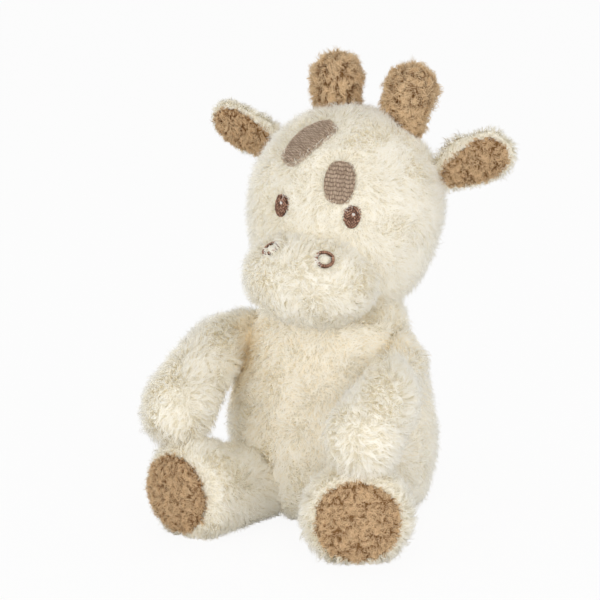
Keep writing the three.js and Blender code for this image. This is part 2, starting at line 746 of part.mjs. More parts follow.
let torso = torsoForm().subtract(belowFloor).subtract(headRoom).subtract(chinRoom);
for (const side of [1, -1]) {
  const { hip } = legFrame(side);
  torso = torso.subtract(armForm(side, ARM_ROOM));
  torso = torso.subtract(toSolid(ballRoom(HIP_RADIUS + BALL_GAP, 20, 12)
    .translate(hip.x, hip.y, HIP_RADIUS - FLOOR_CUT)));
}
torso = torso.subtract(toSolid(unitOutline(pocketGrow, torsoBack + 30)));
torso = torso.subtract(torsoSlice(-10, recessDepth).intersect(flapBar(FLAP_EDGE_GAP)));
torso = torso.subtract(tailSocket);
addMesh(parts, 'torso', toGeometry(torso), CREAM);

for (const [hand, side] of [['left', 1], ['right', -1]]) {
  addMesh(parts, `arm_${hand}`, toGeometry(armForm(side)), CREAM);
  const { hip, forward, length } = legFrame(side);
  const soleEnd = length - HIP_RADIUS - SOLE_TRIM;
  const beyond = boxBetween(vec(-60, 0, -60), vec(60, 60, 60));
  const facing = new THREE.Matrix4().makeBasis(
    vec(forward.y, -forward.x, 0), forward, vec(0, 0, 1),
  ).setPosition(hip.clone().addScaledVector(forward, soleEnd));
  const leg = legForm(side).subtract(belowFloor).subtract(toSolid(beyond.applyMatrix4(facing)));
  addMesh(parts, `leg_${hand}`, toGeometry(leg), CREAM);
  const pad = stuffed({
    list: stations(PAD_THICKNESS, 0.4, PAD_THICKNESS - 0.6, 1, 2.6, 2),
    place: (s) => hip.clone().addScaledVector(forward, soleEnd + SEAM_GAP + s)
      .setZ(FOOT_HALF_HEIGHT - FLOOR_CUT),
    along: () => forward,
    up: vec(0, 0, 1),
    wide: () => PAD_HALF_WIDTH,
    deep: () => PAD_HALF_HEIGHT,
    sides: 20,
  });
  addMesh(parts, `foot_pad_${hand}`, toGeometry(toSolid(pad)), BROWN);
}

// Tail and its tuft

const tailEnd = tailRoot.clone().add(vec(0, TAIL_LENGTH, -TAIL_ROOT_HEIGHT + TUFT_RADIUS + 1.2));
const tailCurve = new THREE.CatmullRomCurve3([
  tailRoot.clone().add(vec(0, -TAIL_RADIUS, 0)),
  tailRoot,
  tailRoot.clone().add(vec(0, TAIL_LENGTH * 0.45, -2)),
  tailEnd,
], false, 'centripetal');
const tailLength = tailCurve.getLength();
const tail = toSolid(stuffed({
  list: stations(tailLength, TAIL_RADIUS, 1, 5, 2, 3),
  place: (s) => tailCurve.getPointAt(THREE.MathUtils.clamp(s / tailLength, 0, 1)),
  along: (s) => tailCurve.getTangentAt(THREE.MathUtils.clamp(s / tailLength, 0, 1)),
  up: vec(0, 0, 1),
  wide: () => TAIL_RADIUS,
  deep: () => TAIL_RADIUS,
  sides: 10,
}));
addMesh(parts, 'tail', toGeometry(tail), CREAM);
const tuftWay = tailCurve.getTangentAt(1).setZ(0).normalize();
const tuft = stuffed({
  list: stations(TUFT_LENGTH, TUFT_RADIUS * 0.4, TUFT_LENGTH * 0.6, 2, 2, 4),
  place: (s) => tailEnd.clone().addScaledVector(tuftWay, s + SEAM_GAP),
  along: () => tuftWay,
  up: vec(0, 0, 1),
  wide: () => TUFT_RADIUS,
  deep: () => TUFT_RADIUS,
  sides: 12,
});
addMesh(parts, 'tail_tuft', toGeometry(toSolid(tuft)), BROWN);

// Pocket lining, flap and its two closing tapes

const backSkin = torsoForm(-recessDepth - SEAM_GAP);
const lining = toSolid(unitOutline(liningGap + LINING_THICKNESS, torsoBack + 30))
  .subtract(toSolid(unitOutline(liningGap, torsoBack + 40)))
  .intersect(backSkin);
addMesh(parts, 'pocket_lining', toGeometry(lining), LINING);

const flapGroup = group(parts, 'flap_group', 0, 0, 0);
const flap = torsoSlice(0, FLAP_THICKNESS).intersect(flapBar(0));
addMesh(flapGroup, 'pocket_flap', toGeometry(flap), CREAM);
const hookFrom = FLAP_THICKNESS + SEAM_GAP;
const loopFrom = hookFrom + TAPE_THICKNESS + SEAM_GAP;
const hook = torsoSlice(hookFrom, hookFrom + TAPE_THICKNESS).intersect(tapeBar);
addMesh(flapGroup, 'hook_tape', toGeometry(hook), TAPE);
const loop = torsoSlice(loopFrom, loopFrom + TAPE_THICKNESS).intersect(tapeBar);
addMesh(parts, 'loop_tape', toGeometry(loop), TAPE);

// Light unit

const unit = group(parts, 'unit_group', 0, 0, UNIT_Z);
const partingY = UNIT_REAR_Y - UNIT_BODY_DEPTH;
const bayHalfWidth = BATTERY_PITCH + BATTERY_RADIUS + BAY_SIDE_GAP;
const bayHalfHeight = BATTERY_LENGTH / 2 + BATTERY_NUB_HEIGHT / 2 + BAY_END_GAP;
const bayFloorY = UNIT_REAR_Y - DOOR_THICKNESS - SEAM_GAP - BAY_DEPTH;
const doorHalfWidth = bayHalfWidth + DOOR_LEDGE;
const doorHalfHeight = bayHalfHeight + DOOR_LEDGE;
const ledgeY = UNIT_REAR_Y - DOOR_THICKNESS - SEAM_GAP;
const boardFrontY = bayFloorY - UNIT_WALL - SEAM_GAP - BOARD_THICKNESS;
const tabLow = -doorHalfHeight - DOOR_TAB_REACH;
const screwZ = -doorHalfHeight - DOOR_TAB_REACH / 2 + 0.25;

const doorPlate = (grow, y0, y1) => toSolid(plateY(
  -doorHalfWidth - grow, doorHalfWidth + grow, -doorHalfHeight - grow, doorHalfHeight + grow,
  4 + grow, y0, y1,
)).add(toSolid(plateY(
  -DOOR_TAB_HALF_WIDTH - grow, DOOR_TAB_HALF_WIDTH + grow,
  tabLow - grow, -doorHalfHeight + 6, 2 + grow, y0, y1,
)));

let housing = toSolid(cylinderY(UNIT_RADIUS, partingY + BEZEL_HEIGHT, UNIT_REAR_Y));
housing = housing.add(toSolid(cylinderY(
  UNIT_RADIUS - UNIT_WALL - SEAM_GAP, partingY + 0.6, partingY + BEZEL_HEIGHT + 1,
)));
housing = housing.subtract(toSolid(cylinderY(
  BOARD_RADIUS - 1.2, partingY - 2, bayFloorY - UNIT_WALL,
)));
housing = housing.subtract(toSolid(plateY(
  -bayHalfWidth, bayHalfWidth, -bayHalfHeight, bayHalfHeight, 3, bayFloorY, UNIT_REAR_Y + 5,
)));
housing = housing.subtract(doorPlate(SEAM_GAP, ledgeY, UNIT_REAR_Y + 5));
housing = housing.subtract(toSolid(cylinderY(
  SCREW_SHAFT_RADIUS + SEAM_GAP, UNIT_REAR_Y - SCREW_LENGTH - 1.5, UNIT_REAR_Y + 2, SMALL_SIDES,
).translate(0, 0, screwZ)));

const buttonHole = toSolid(cylinderY(
  BUTTON_RADIUS + SEAM_GAP, UNIT_REAR_Y - CONTROL_POCKET, UNIT_REAR_Y + 2, 24,
).translate(-CONTROL_OFFSET, 0, 0));
const knobSlot = toSolid(boxBetween(
  vec(CONTROL_OFFSET - KNOB_WIDTH / 2 - SEAM_GAP, UNIT_REAR_Y - CONTROL_POCKET,
    -(KNOB_LENGTH + KNOB_TRAVEL) / 2 - SEAM_GAP),
  vec(CONTROL_OFFSET + KNOB_WIDTH / 2 + SEAM_GAP, UNIT_REAR_Y + 2,
    (KNOB_LENGTH + KNOB_TRAVEL) / 2 + SEAM_GAP),
));
housing = housing.subtract(buttonHole).subtract(knobSlot);
addMesh(unit, 'lamp_housing', toGeometry(housing), SHELL);

// The bezel ring screws over the housing's neck and holds the dome by its flange.
const bezelInner = UNIT_RADIUS - UNIT_WALL;
const flangeRadius = bezelInner - SEAM_GAP;
const domeRadius = flangeRadius - 2.2;
const lipRadius = domeRadius + SEAM_GAP;
const flangeTopY = partingY + 0.6 - SEAM_GAP;
const flangeLowY = flangeTopY - DOME_WALL;
const bezel = new THREE.LatheGeometry([
  [bezelInner, partingY + BEZEL_HEIGHT - SEAM_GAP],
  [bezelInner, flangeLowY - SEAM_GAP],
  [lipRadius, flangeLowY - SEAM_GAP],
  [lipRadius, flangeLowY - SEAM_GAP - 1.2],
  [UNIT_RADIUS - 1, flangeLowY - SEAM_GAP - 1.2],
  [UNIT_RADIUS, flangeLowY - SEAM_GAP - 0.2],
  [UNIT_RADIUS, partingY + BEZEL_HEIGHT - SEAM_GAP],
  [bezelInner, partingY + BEZEL_HEIGHT - SEAM_GAP],
].map(([r, y]) => new THREE.Vector2(r, y)), ROUND_SIDES);
addMesh(unit, 'bezel_ring', toGeometry(toSolid(bezel)), SHELL);

function domePairs(radius, apexY, baseY, steps) {
  const pairs = [];
  for (let i = 0; i <= steps; i += 1) {
    const turn = (i / steps) * Math.PI / 2;
    pairs.push([radius * Math.sin(turn), baseY - (baseY - apexY) * Math.cos(turn)]);
  }
  return pairs;
}
const apexY = partingY - DOME_HEIGHT;
const outer = domePairs(domeRadius, apexY, flangeLowY, 6);
const inner = domePairs(domeRadius - DOME_WALL, apexY + DOME_WALL, flangeLowY, 6).reverse();
const dome = turned([
  ...outer,
  [flangeRadius, flangeLowY],
  [flangeRadius, flangeTopY],
  [domeRadius - DOME_WALL, flangeTopY],
  ...inner,
]);
addMesh(unit, 'diffuser_dome', toGeometry(toSolid(dome)), DIFFUSER);

// Circuit board with three lamps on its front face
const board = cylinderY(
  BOARD_RADIUS - 1.2 - SEAM_GAP, boardFrontY, boardFrontY + BOARD_THICKNESS, 32,
);
addMesh(unit, 'circuit_board', toGeometry(toSolid(board)), BOARD);
for (let i = 0; i < 3; i += 1) {
  const turn = (i / 3) * 2 * Math.PI + Math.PI / 2;
  const baseY = boardFrontY - SEAM_GAP;
  const led = turned([
    [0, baseY - LED_HEIGHT],
    [LED_RADIUS * 0.6, baseY - LED_HEIGHT + 0.5],
    [LED_RADIUS, baseY - LED_HEIGHT + LED_RADIUS],
    [LED_RADIUS, baseY - 1],
    [LED_RADIUS + 0.4, baseY - 1],
    [LED_RADIUS + 0.4, baseY],
    [0, baseY],
  ], 12).translate(LED_CIRCLE * Math.cos(turn), 0, LED_CIRCLE * Math.sin(turn));
  addMesh(unit, `led_${i + 1}`, toGeometry(toSolid(led)), LED);
}

// Three small cells side by side, the middle one turned round, between two contact strips
for (let i = 0; i < 3; i += 1) {
  const up = i === 1 ? -1 : 1;
  const nubEnd = BATTERY_LENGTH / 2;
  const cell = turned([
    [0, -nubEnd],
    [BATTERY_RADIUS, -nubEnd],
    [BATTERY_RADIUS, nubEnd - BATTERY_NUB_HEIGHT],
    [BATTERY_NUB_RADIUS, nubEnd - BATTERY_NUB_HEIGHT],
    [BATTERY_NUB_RADIUS, nubEnd],
    [0, nubEnd],
  ], 20);
  cell.rotateX(up * Math.PI / 2);
  cell.translate((i - 1) * BATTERY_PITCH, bayFloorY + SEAM_GAP + BATTERY_RADIUS, 0);
  addMesh(unit, `battery_${i + 1}`, toGeometry(toSolid(cell)), CELL);
}
for (const [end, sign] of [['top', 1], ['bottom', -1]]) {
  const from = BATTERY_LENGTH / 2 + SEAM_GAP;
  const strip = boxBetween(
    vec(-bayHalfWidth + 3, bayFloorY + SEAM_GAP, sign > 0 ? from : -from - CONTACT_THICKNESS),
    vec(bayHalfWidth - 3, bayFloorY + BAY_DEPTH - 1.5, sign > 0 ? from + CONTACT_THICKNESS : -from),
  );
  addMesh(unit, `contact_${end}`, toGeometry(toSolid(strip)), STEEL);
}

// Battery door with its captive screw
const doorGroup = group(unit, 'door_group', 0, 0, 0);
const headY = UNIT_REAR_Y - SCREW_HEAD_HEIGHT;
let door = doorPlate(0, ledgeY + SEAM_GAP, UNIT_REAR_Y);
door = door.subtract(toSolid(cylinderY(
  SCREW_SHAFT_RADIUS + SEAM_GAP, ledgeY - 1, UNIT_REAR_Y + 1, SMALL_SIDES,
).translate(0, 0, screwZ)));
door = door.subtract(toSolid(cylinderY(
  SCREW_HEAD_RADIUS + SEAM_GAP, headY - SEAM_GAP, UNIT_REAR_Y + 1, SMALL_SIDES,
).translate(0, 0, screwZ)));
addMesh(doorGroup, 'battery_door', toGeometry(door), SHELL);
const screw = turned([
  [0, UNIT_REAR_Y - SCREW_LENGTH],
  [SCREW_SHAFT_RADIUS, UNIT_REAR_Y - SCREW_LENGTH + 1],
  [SCREW_SHAFT_RADIUS, headY],
  [SCREW_HEAD_RADIUS, headY],
  [SCREW_HEAD_RADIUS, UNIT_REAR_Y],
  [0, UNIT_REAR_Y],
], SMALL_SIDES).translate(0, 0, screwZ);
addMesh(doorGroup, 'door_screw', toGeometry(toSolid(screw)), STEEL);

// Push button over its small switch, and the sliding mode switch
const buttonGroup = group(unit, 'button_group', 0, 0, 0);
const button = turned([
  [0, UNIT_REAR_Y + BUTTON_PROUD - BUTTON_HEIGHT],
  [BUTTON_RADIUS, UNIT_REAR_Y + BUTTON_PROUD - BUTTON_HEIGHT],
  [BUTTON_RADIUS, UNIT_REAR_Y + BUTTON_PROUD - 0.6],
  [BUTTON_RADIUS - 0.6, UNIT_REAR_Y + BUTTON_PROUD],
  [0, UNIT_REAR_Y + BUTTON_PROUD],
], 24).translate(-CONTROL_OFFSET, 0, 0);
addMesh(buttonGroup, 'push_button', toGeometry(toSolid(button)), CONTROL);
const tactTop = UNIT_REAR_Y + BUTTON_PROUD - BUTTON_HEIGHT - BUTTON_TRAVEL - SEAM_GAP;
const tact = boxBetween(
  vec(-CONTROL_OFFSET - 2.2, UNIT_REAR_Y - CONTROL_POCKET + SEAM_GAP, -2.2),
  vec(-CONTROL_OFFSET + 2.2, tactTop, 2.2),
);
addMesh(unit, 'button_switch', toGeometry(toSolid(tact)), STEEL);

const knobGroup = group(unit, 'knob_group', 0, 0, 0);
const knobBaseZ = -(KNOB_LENGTH + KNOB_TRAVEL) / 2;
let knob = toSolid(boxBetween(
  vec(CONTROL_OFFSET - KNOB_WIDTH / 2, UNIT_REAR_Y - CONTROL_POCKET + SEAM_GAP, knobBaseZ),
  vec(CONTROL_OFFSET + KNOB_WIDTH / 2, UNIT_REAR_Y + KNOB_PROUD, knobBaseZ + KNOB_LENGTH),
));
for (let i = 1; i <= 3; i += 1) {
  const z = knobBaseZ + (i / 4) * KNOB_LENGTH;
  knob = knob.subtract(toSolid(boxBetween(
    vec(CONTROL_OFFSET - 5, UNIT_REAR_Y + KNOB_PROUD - 0.5, z - 0.25),
    vec(CONTROL_OFFSET + 5, UNIT_REAR_Y + KNOB_PROUD + 1, z + 0.25),
  )));
}
addMesh(knobGroup, 'mode_knob', toGeometry(knob), CONTROL);

export default parts;
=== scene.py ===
# %% [markdown]
# # A plush giraffe with a night light in its belly
# The toy sits on a white table, turned a little to its right. It is sewn from long
# curly pile fabric and stuffed, and its face is embroidered. The solid model gives the
# stuffed forms, the joints and the lamp. This script adds what the eye sees on them:
# the sewn skins, nearly 300,000 strands of pile, the stitches and the plastics.

import math

import bpy
import numpy as np
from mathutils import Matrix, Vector
from mathutils.bvhtree import BVHTree
from mathutils.kdtree import KDTree


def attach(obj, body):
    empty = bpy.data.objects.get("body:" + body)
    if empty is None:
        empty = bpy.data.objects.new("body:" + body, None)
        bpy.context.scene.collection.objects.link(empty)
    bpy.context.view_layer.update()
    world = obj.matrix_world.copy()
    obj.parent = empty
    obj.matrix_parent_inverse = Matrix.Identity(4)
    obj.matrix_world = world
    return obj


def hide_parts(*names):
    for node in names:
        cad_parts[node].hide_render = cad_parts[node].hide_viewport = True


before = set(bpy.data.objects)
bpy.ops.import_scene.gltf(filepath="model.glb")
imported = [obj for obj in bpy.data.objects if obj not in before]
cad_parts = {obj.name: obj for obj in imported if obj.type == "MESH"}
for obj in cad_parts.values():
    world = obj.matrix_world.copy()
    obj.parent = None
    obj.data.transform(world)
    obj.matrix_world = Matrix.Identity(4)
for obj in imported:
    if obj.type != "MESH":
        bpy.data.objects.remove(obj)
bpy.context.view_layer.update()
scene = bpy.context.scene
MM = 0.001

# %% [markdown]
# ## The camera
# A product photographer stands about a metre away with a long lens, so that the head
# doesn't look bigger than the feet. The lens is 111 mm on a 36 mm wide square frame.

# %% Camera
portrait = bpy.data.cameras.new("portrait")
portrait.lens = 111
portrait.sensor_width = 36
portrait.clip_end = 40
camera = bpy.data.objects.new("portrait", portrait)
scene.collection.objects.link(camera)
camera.location = (0.4362, -0.8979, 0.3384)
looks_at = Vector((-0.007, -0.028, 0.122))
camera.rotation_euler = (looks_at - camera.location).to_track_quat("-Z", "Y").to_euler()
scene.camera = camera
print("camera is", round((looks_at - camera.location).length, 3), "m away")

# %% [markdown]
# ## Colours and nodes
# Colours are picked as screen values, which the renderer needs as linear light. One
# helper adds any node with its settings and links, so that each material reads as a
# short list.

# %% Helpers for materials
def linear(code):
    """A screen colour such as f1ead6 as linear red, green, blue and alpha."""
    parts = [int(code[i:i + 2], 16) / 255 for i in (0, 2, 4)]
    return (*[c / 12.92 if c <= 0.04045 else ((c + 0.055) / 1.055) ** 2.4 for c in parts], 1)


def add(tree, kind, inputs=None, **settings):
    """Adds a node: its own settings by name, and its inputs as values or as sockets."""
    node = tree.nodes.new(kind)
    for name, value in settings.items():
        setattr(node, name, value)
    for name, value in (inputs or {}).items():
        if isinstance(value, bpy.types.NodeSocket):
            tree.links.new(value, node.inputs[name])
        else:
            node.inputs[name].default_value = value
    return node


def new_material(name):
    """An empty material and its node tree."""
    material = bpy.data.materials.new(name)
    material.use_nodes = True
    material.node_tree.nodes.clear()
    return material, material.node_tree


def blend(tree, factor, low, high):
    """A colour between two screen colours."""
    return add(tree, "ShaderNodeMix", {"Factor": factor, 6: linear(low), 7: linear(high)},
               data_type="RGBA").outputs[2]


def spread(tree, value, low, high, start=0.0, end=1.0):
    """A value from start to end as a value from low to high."""
    return add(tree, "ShaderNodeMapRange", {
        "Value": value, "From Min": start, "From Max": end,
        "To Min": low, "To Max": high}).outputs[0]


def noise(tree, where, scale, detail):
    """Cloudy noise of a scale in waves per metre."""
    return add(tree, "ShaderNodeTexNoise", {
        "Vector": where, "Scale": scale, "Detail": detail}).outputs["Fac"]


def raised(tree, height, strength, distance):
    """The normal of a surface with fine relief."""
    return add(tree, "ShaderNodeBump", {
        "Height": height, "Strength": strength, "Distance": distance}).outputs[0]


def on_object(tree):
    """Places on the object, so that the texture moves with it."""
    return add(tree, "ShaderNodeTexCoord").outputs["Object"]


def finish_with(tree, shader):
    """Sends a shader to the material's output."""
    add(tree, "ShaderNodeOutputMaterial", {"Surface": shader})


def finish_surface(tree, inputs):
    """Sends a principled surface with these inputs to the material's output."""
    finish_with(tree, add(tree, "ShaderNodeBsdfPrincipled", inputs).outputs[0])


# %% [markdown]
# ## Table, background and light
# The toy was photographed on seamless white, so the floor runs on to the horizon. A
# camera ray sees it lifted towards plain white, while the object's own soft shadow
# still darkens it. The light is soft and nearly even. The white room gives most of
# it. Three big softboxes add to it, one on the right, a weaker one on the left and one
# low in front, and a small white card at the feet fills the shadow under the belly.

# %% White floor
PAPER_LIFT = 0.92  # the share of plain white in what the camera sees of the floor
paper, tree = new_material("white_paper_sweep")
seen = add(tree, "ShaderNodeLightPath")
paper_matte = add(tree, "ShaderNodeBsdfDiffuse", {"Color": (0.9, 0.9, 0.9, 1)})
paper_lift = add(tree, "ShaderNodeEmission", {"Color": (1, 1, 1, 1), "Strength": 1.0})
paper_seen = add(tree, "ShaderNodeMixShader", {
    0: PAPER_LIFT, 1: paper_matte.outputs[0], 2: paper_lift.outputs[0]})
paper_mix = add(tree, "ShaderNodeMixShader", {
    0: seen.outputs["Is Camera Ray"], 1: paper_matte.outputs[0], 2: paper_seen.outputs[0]})
finish_with(tree, paper_mix.outputs[0])

bpy.ops.mesh.primitive_circle_add(vertices=64, radius=14, fill_type="NGON")
floor = bpy.context.object
floor.name = "floor"
floor.data.materials.append(paper)

# %% Room light
ROOM_LIGHT = 0.71  # what the room throws on the toy, where its walls look plain white
room = bpy.data.worlds.new("white_room")
room.use_nodes = True
tree = room.node_tree
tree.nodes.clear()
rays = add(tree, "ShaderNodeLightPath")
white_seen = add(tree, "ShaderNodeMath", {
    0: rays.outputs["Is Camera Ray"], 1: rays.outputs["Is Glossy Ray"]}, operation="MAXIMUM")
white_through = add(tree, "ShaderNodeMath", {
    0: white_seen.outputs[0], 1: rays.outputs["Is Transmission Ray"]}, operation="MAXIMUM")
room_light = add(tree, "ShaderNodeBackground", {"Color": (1, 1, 1, 1), "Strength": ROOM_LIGHT})
room_seen = add(tree, "ShaderNodeBackground", {"Color": (1, 1, 1, 1), "Strength": 1.0})
room_mix = add(tree, "ShaderNodeMixShader", {
    0: white_through.outputs[0], 1: room_light.outputs[0], 2: room_seen.outputs[0]})
add(tree, "ShaderNodeOutputWorld", {"Surface": room_mix.outputs[0]})
scene.world = room

# %% Softboxes
MIDDLE_OF_TOY = Vector((0, 0, 0.12))


def softbox(name, place, size, watts):
    """A square lamp at a place in metres that faces the toy and stays out of the picture."""
    lamp = bpy.data.lights.new(name, "AREA")
    lamp.size = size
    lamp.energy = watts
    lamp_object = bpy.data.objects.new(name, lamp)
    lamp_object.location = place
    way = MIDDLE_OF_TOY - lamp_object.location
    lamp_object.rotation_euler = way.to_track_quat("-Z", "Y").to_euler()
    lamp_object.visible_camera = False
    scene.collection.objects.link(lamp_object)


softbox("key_right", (1.7, -0.9, 0.6), 1.6, 8)
softbox("fill_left", (-1.8, -1.0, 0.6), 1.6, 5)
softbox("fill_low_front", (0.2, -1.9, 0.2), 1.6, 8)
softbox("white_card_at_the_feet", (0.15, -0.45, 0.02), 0.2, 0.36)
scene.view_settings.view_transform = "Standard"

# %% [markdown]
# ## Pile fabric
# The fabric is a knitted polyester ground with long crimped fibres. Up close it is
# thousands of fine strands that lie over each other in soft wisps. A real fibre is
# round and looks alike from all sides, where this one is a flat ribbon. So the front of
# a ribbon is matte, and its back shows the light that comes through from the front.
# Each strand carries three numbers: tint, its own tone, darker in creases as painted
# shade; the warm cast, how much painted glow of the lamp inside it has; and along, from
# its root, coloured darker as painted shade, to its tip.

# %% Pile material
def pile_material(name, root, dark, light, glow):
    """Crimped polyester fibre: from a root in painted shade to its tip, differing by strand."""
    material, tree = new_material(name)
    tint = add(tree, "ShaderNodeAttribute", attribute_name="tint")
    warm_glow = add(tree, "ShaderNodeAttribute", attribute_name="warm_glow")
    along = add(tree, "ShaderNodeAttribute", attribute_name="along")
    own = blend(tree, tint.outputs["Fac"], dark, light)
    # The root colour is darker as painted shade deep in the pile; it fades out by three quarters
    # of the way along.
    reach = spread(tree, along.outputs["Fac"], 0.0, 1.0, start=0.05, end=0.75)
    root_shade_to_tip = add(tree, "ShaderNodeMix", {
        "Factor": reach, 6: linear(root), 7: own}, data_type="RGBA")
    # The warm cast is painted glow of the lamp inside the belly.
    cast = blend(tree, warm_glow.outputs["Fac"], "ffffff", glow)
    colour = add(tree, "ShaderNodeMix", {
        "Factor": 1.0, 6: root_shade_to_tip.outputs[2], 7: cast},
        data_type="RGBA", blend_type="MULTIPLY")
    front = add(tree, "ShaderNodeBsdfPrincipled", {
        "Base Color": colour.outputs[2], "Roughness": 0.85, "Specular IOR Level": 0.2})
    behind = add(tree, "ShaderNodeBsdfTranslucent", {"Color": colour.outputs[2]})
    side = add(tree, "ShaderNodeNewGeometry")
    through = spread(tree, side.outputs["Backfacing"], 0.08, 0.92)
    fibre = add(tree, "ShaderNodeMixShader", {
        0: through, 1: front.outputs[0], 2: behind.outputs[0]})
    finish_with(tree, fibre.outputs[0])
    return material


# The root colours are painted shade deep in the pile, and glow is painted lamp glow.
cream_pile = pile_material(
    "cream_crimped_polyester_pile", root="f3ead3", dark="f9f4e7", light="fffef9", glow="ffecc4")
brown_pile = pile_material(
    "brown_crimped_polyester_pile", root="8f6b46", dark="d3b289", light="f3deba", glow="ffeabe")

# %% [markdown]
# Under the strands lies the knitted ground. It is seen only where the pile parts, so
# a fine knit bump and a colour close to that of the roots are enough.

# %% Knitted ground
def ground_material(name, colour, hollow):
    """Warp knit polyester: loops about 0.9 mm apart, in patches a little darker in tone."""
    material, tree = new_material(name)
    where = on_object(tree)
    knit = add(tree, "ShaderNodeTexVoronoi", {"Vector": where, "Scale": 1100.0})
    finish_surface(tree, {
        "Base Color": blend(tree, noise(tree, where, 160.0, 3.0), hollow, colour),
        "Roughness": 0.95, "Specular IOR Level": 0.15,
        "Normal": raised(tree, knit.outputs["Distance"], 0.5, 0.0004)})
    return material


cream_ground = ground_material("cream_knitted_ground", "e9e3d4", "d9d2c0")
brown_ground = ground_material("brown_knitted_ground", "96714a", "765636")

# %% [markdown]
# ## Stuffed skins
# Every soft part is a sewn bag full of fibre fill. The solid model holds its form with
# few flat faces, so a skin starts as a copy of it, is remeshed into small even faces
# and smoothed, as fill presses the cloth into one round form. The skins stand for the
# plain solids, which stay behind for the physics.

# %% Mesh helpers
def joined_mesh(name, points, quads, tris):
    """A mesh from arrays of points, four-sided and three-sided faces."""
    mesh = bpy.data.meshes.new(name)
    corners = np.concatenate([quads.ravel(), tris.ravel()]).astype(np.int32)
    starts = np.concatenate([
        np.arange(len(quads)) * 4, len(quads) * 4 + np.arange(len(tris)) * 3]).astype(np.int32)
    mesh.vertices.add(len(points))
    mesh.vertices.foreach_set("co", np.ascontiguousarray(points, dtype=np.float32).ravel())
    mesh.loops.add(len(corners))
    mesh.loops.foreach_set("vertex_index", corners)
    mesh.polygons.add(len(starts))
    mesh.polygons.foreach_set("loop_start", starts)
    mesh.update(calc_edges=True)
    mesh.shade_smooth()
    return mesh


def show(mesh, name, material, body):
    """Puts a mesh in the scene as a piece that rides on a body."""
    piece = bpy.data.objects.new(name, mesh)
    mesh.materials.clear()
    mesh.materials.append(material)
    scene.collection.objects.link(piece)
    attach(piece, body)
    return piece


def triples(items, key, kind):
    """Three numbers of each of a mesh's items, as rows."""
    found = np.empty(len(items) * 3, dtype=kind)
    items.foreach_get(key, found)
    return found.reshape(-1, 3)


def surface_of(piece):
    """Corners, triangles and smooth normals of a piece as arrays."""
    mesh = piece.data
    mesh.calc_loop_triangles()
    return (triples(mesh.vertices, "co", np.float32).astype(float),
            triples(mesh.loop_triangles, "vertices", np.int32),
            triples(mesh.vertices, "normal", np.float32).astype(float))


def unit(arrows):
    """The same directions with length one."""
    return arrows / np.maximum(np.linalg.norm(arrows, axis=-1, keepdims=True), 1e-9)


def give_numbers(mesh, key, values):
    """Gives each point of a mesh its own number, for the material to read."""
    mesh.attributes.new(key, "FLOAT", "POINT").data.foreach_set("value", values.astype(np.float32))


def settle(piece):
    """Applies all modifiers of a piece."""
    graph = bpy.context.evaluated_depsgraph_get()
    shape = bpy.data.meshes.new_from_object(piece.evaluated_get(graph))
    piece.modifiers.clear()
    piece.data = shape


# %% [markdown]
# A stuffed form isn't quite the same on both sides, and the photographed toy was set
# down by hand. So a few skins are moved softly from their pattern, by millimetres. In
# this cell p is an array of places in millimetres, and left is the toy's own left, +x.

# %% Moves of the skins
def ramp(value, start, end):
    """From 0 at start to 1 at end, with soft turns."""
    t = np.clip((value - start) / (end - start), 0, 1)
    return t * t * (3 - 2 * t)


def moved(p, x=0.0, y=0.0, z=0.0):
    """The places moved by these amounts, each one number or one for each place."""
    none = np.zeros(len(p))
    return p + np.stack([none + x, none + y, none + z], axis=1)


def resting_hand(p):
    """The hand comes forward and down on the foot pad."""
    low = ramp(p[:, 2], 74, 56) * ramp(p[:, 1], -50, -76)
    return moved(p, y=-2.5 * low, z=-1.2 * low)


def pressed_shoulder(p):
    """The outside of the left upper arm goes in, and its top comes down as well."""
    pressed, high = ramp(p[:, 1], -58, -24), ramp(p[:, 2], 84, 104)
    beyond = np.maximum(p[:, 0] - 44 + 4 * high, 0)
    down = 5 * high * pressed * ramp(p[:, 0], 38, 60)
    return resting_hand(moved(p, x=-(0.56 + 0.24 * high) * pressed * beyond, z=-down))


def leaning_horn(p):
    """The right horn's top goes 2 mm inwards."""
    up = ramp(p[:, 2], 214, 248)
    return moved(p, x=2.0 * up, z=1.0 * up)


def fuller_ear(p):
    """The left ear is 3 mm shorter, and higher along its middle."""
    out = ramp(p[:, 0], 62, 96)
    middle = ramp(p[:, 0], 50, 62) * (1 - ramp(p[:, 0], 84, 96))
    return moved(p, x=-3.0 * out, z=0.16 * middle * np.maximum(p[:, 2] - 197, 0))


def fuller_back(p):
    """The left ear's back stands higher at the root, above a line that rises outwards."""
    root = ramp(p[:, 0], 44, 52) * (1 - ramp(p[:, 0], 58, 74))
    above = np.maximum(p[:, 2] - 187 - 0.3 * (p[:, 0] - 52), 0)
    return fuller_ear(moved(p, z=0.55 * root * above))


def fuller_right_back(p):
    """The right ear's back stands a little higher at the root as well."""
    out = -p[:, 0]
    root = ramp(out, 34, 40) * (1 - ramp(out, 46, 58))
    return moved(p, z=0.3 * root * np.maximum(p[:, 2] - 195 - 0.35 * (out - 46), 0))


def full_waist(p):
    """The right of the waist is 7% fuller and the left shoulder up to 10% slimmer."""
    waist = ramp(p[:, 2], 34, 50) * (1 - ramp(p[:, 2], 70, 84)) * ramp(p[:, 1], 5, -20)
    shoulder = ramp(p[:, 2], 76, 96)
    return moved(p, x=-0.07 * waist * np.maximum(-p[:, 0], 0)
                 - 0.1 * shoulder * np.maximum(p[:, 0] - 20, 0))


def slim_cheek(p):
    """The left half of the head is 3.5% slimmer below the eyes."""
    return moved(p, x=-0.035 * np.maximum(p[:, 0], 0) * (1 - ramp(p[:, 2], 145, 172)))


FORMED = {
    "torso": full_waist, "head": slim_cheek,
    "arm_left": pressed_shoulder, "arm_right": resting_hand,
    "ossicone_right": leaning_horn, "ear_back_left": fuller_back,
    "ear_lining_left": fuller_ear, "ear_back_right": fuller_right_back,
}

# %% Making a skin
skins = {}


